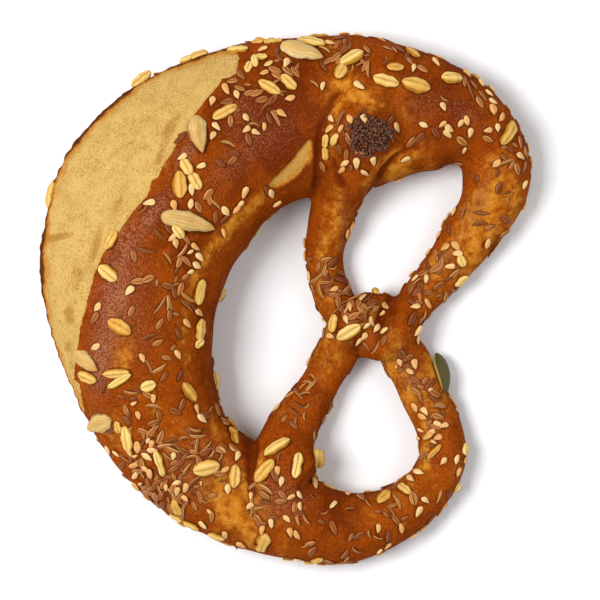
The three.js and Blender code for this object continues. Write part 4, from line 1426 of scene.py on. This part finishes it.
store(dough_mesh, "seed_mm", gap_to_seeds(skin))
dough = bpy.data.objects.new("dough", dough_mesh)
bpy.context.scene.collection.objects.link(dough)
dough_mesh.polygons.foreach_set("use_smooth", np.ones(len(dough_mesh.polygons), bool))
dough_mesh.materials.clear()
dough_mesh.materials.append(crust.material)
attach(dough, "root")
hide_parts("pretzel")
print("dough triangles:", sum(len(p.vertices) - 2 for p in dough_mesh.polygons))

# %% [markdown]
# ## Finishes of the seeds
#
# Seeds are dry and mostly matt. What makes them readable is contrast inside each one, painted
# into the colour: the oat's brown crease and the dark edge of a sesame seed and of the other
# seeds are partly the seed's own colour and partly painted shade, and the pale middles and the
# pale ribs of caraway and linseed are a painted highlight. Every point knows how far across its
# seed it lies, so one ramp of colours, read from the middle out to the edge, draws all of that,
# and the same ramp serves as the height of the relief: pale is proud.

# %% The finish of a kind
def seed_finish(name, stops, toast, waver, drift, relief_mm, rough, end_colour=None, darkest=None):
    """A matt seed: colours from its middle to its edge, with painted shade at edge and crease and a painted
    highlight in the middle, browned by its own tone.
    """
    made = Recipe(name)
    tone, mark = made.attribute("tone"), made.attribute("mark")
    across, along = made.attribute("across"), made.attribute("along")
    fibres = made.fibres(along * 0.6, across * 2.5, tone * 40.0, 1.6)
    patchy = made.grain(1.6, 3.0)
    fine = made.grain(0.3, 3.0, 0.7)
    base = made.ramp((across + waver * (fibres - 0.5) + drift * (tone - 0.5)).size(), stops)
    browned = (0.75 - tone * 0.75 + 0.9 * (patchy - 0.5) + 0.35 * (fibres - 0.5)).step(0.0, 0.9)
    colour = made.blend(browned, base, toast, "MULTIPLY")
    if darkest:
        own = made.blend(tone.step(0.0, 0.7), darkest, (1.0, 1.0, 1.0))
        colour = made.blend(1.0, colour, own, "MULTIPLY")
    if end_colour:
        colour = made.blend(mark * 0.7 * patchy.step(0.3, 0.6), colour, end_colour)
    colour = made.blend(fine.step(0.5, 0.75) * 0.35, colour, toast, "MULTIPLY")
    normal = made.bump(base, relief_mm)
    normal = made.bump(fibres * 0.6 + fine * 0.4, relief_mm * 0.6, normal)
    return made.finish({
        "Base Color": colour,
        "Roughness": rough + 0.2 * (fine - 0.5),
        "Specular IOR Level": 0.2,
        "Normal": normal,
    })


# Seed ramps: each seed's own colours, with painted shade at creases, grooves and edges and a painted
# highlight on middles and ribs.
OAT_STOPS = [
    (0.0, (0.47, 0.26, 0.035)), (0.06, (0.58, 0.36, 0.075)), (0.16, (0.7, 0.47, 0.14)),
    (0.45, (0.81, 0.6, 0.235)), (0.7, (0.72, 0.47, 0.12)), (0.88, (0.62, 0.38, 0.07)),
    (1.0, (0.4, 0.19, 0.014)),
]
SESAME_STOPS = [
    (0.0, (0.71, 0.43, 0.165)), (0.5, (0.77, 0.515, 0.22)), (0.75, (0.84, 0.61, 0.29)),
    (0.9, (0.64, 0.35, 0.11)), (1.0, (0.3, 0.11, 0.02)),
]
SUNFLOWER_STOPS = [
    (0.0, (0.517, 0.306, 0.0866)), (0.15, (0.626, 0.428, 0.167)), (0.35, (0.533, 0.321, 0.0933)),
    (0.5, (0.658, 0.474, 0.193)), (0.68, (0.548, 0.344, 0.107)), (0.85, (0.689, 0.52, 0.247)),
    (1.0, (0.282, 0.13, 0.0267)),
]
LINSEED_STOPS = [
    (0.0, (0.16, 0.045, 0.006)), (0.16, (0.25, 0.075, 0.011)), (0.34, (0.64, 0.26, 0.065)),
    (0.48, (0.33, 0.105, 0.018)), (0.64, (0.33, 0.105, 0.018)), (0.8, (0.92, 0.46, 0.16)),
    (0.9, (0.3, 0.085, 0.012)), (1.0, (0.045, 0.008, 0.001)),
]
CARAWAY_STOPS = [
    (0.0, (0.55, 0.24, 0.052)), (0.14, (0.17, 0.05, 0.008)), (0.3, (0.28, 0.095, 0.018)),
    (0.5, (0.92, 0.5, 0.17)), (0.68, (0.72, 0.33, 0.09)), (0.82, (0.19, 0.055, 0.01)),
    (0.93, (0.6, 0.25, 0.06)), (1.0, (0.045, 0.009, 0.002)),
]
PUMPKIN_STOPS = [
    (0.0, (0.09, 0.075, 0.018)), (0.6, (0.075, 0.06, 0.014)), (0.84, (0.055, 0.042, 0.009)),
    (0.92, (0.4, 0.26, 0.05)), (1.0, (0.2, 0.11, 0.02)),
]
POPPY_STOPS = [(0.0, (0.2, 0.085, 0.04)), (0.5, (0.06, 0.024, 0.012)), (1.0, (0.2, 0.085, 0.04))]

BROWNEST = (0.58, 0.4, 0.3)
FINISHES = {
    "oats": seed_finish("oat_flake", OAT_STOPS, (0.8, 0.56, 0.24), 0.3, 0.7, 0.14, 0.75),
    "sesame": seed_finish(
        "sesame_seed", SESAME_STOPS, (0.84, 0.6, 0.38), 0.2, 0.1, 0.08, 0.6, (0.5, 0.22, 0.07)
    ),
    "sunflower_kernels": seed_finish(
        "sunflower_kernel", SUNFLOWER_STOPS, (0.88, 0.7, 0.45), 0.8, 0.2, 0.14, 0.7, (0.6, 0.3, 0.06)
    ),
    "linseeds": seed_finish(
        "linseed", LINSEED_STOPS, (0.8, 0.68, 0.6), 0.3, 0.15, 0.16, 0.55, None, BROWNEST
    ),
    "caraway": seed_finish(
        "caraway_seed", CARAWAY_STOPS, (0.8, 0.7, 0.6), 0.15, 0.1, 0.14, 0.6, None, BROWNEST
    ),
    "pumpkin_seed": seed_finish("pumpkin_seed", PUMPKIN_STOPS, (0.8, 0.8, 0.7), 0.1, 0.0, 0.15, 0.55),
    "poppy": seed_finish("poppy_grain", POPPY_STOPS, (0.25, 0.22, 0.25), 0.8, 0.0, 0.08, 0.6),
}
for kind, seeds in shapes.items():
    piece = join(kind, seeds)
    piece.data.materials.append(FINISHES[kind])

# %% [markdown]
# ## Sizes
#
# How far the finished looks reach past the frame's own box is printed, so that a model
# that outgrows its solid is noticed.

# %% Print how far the looks grew
visual_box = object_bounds()
before, after = np.array(cad_box), np.array(visual_box)
print("grown by, mm:", np.round((after - before) / MM, 2).ravel().tolist())
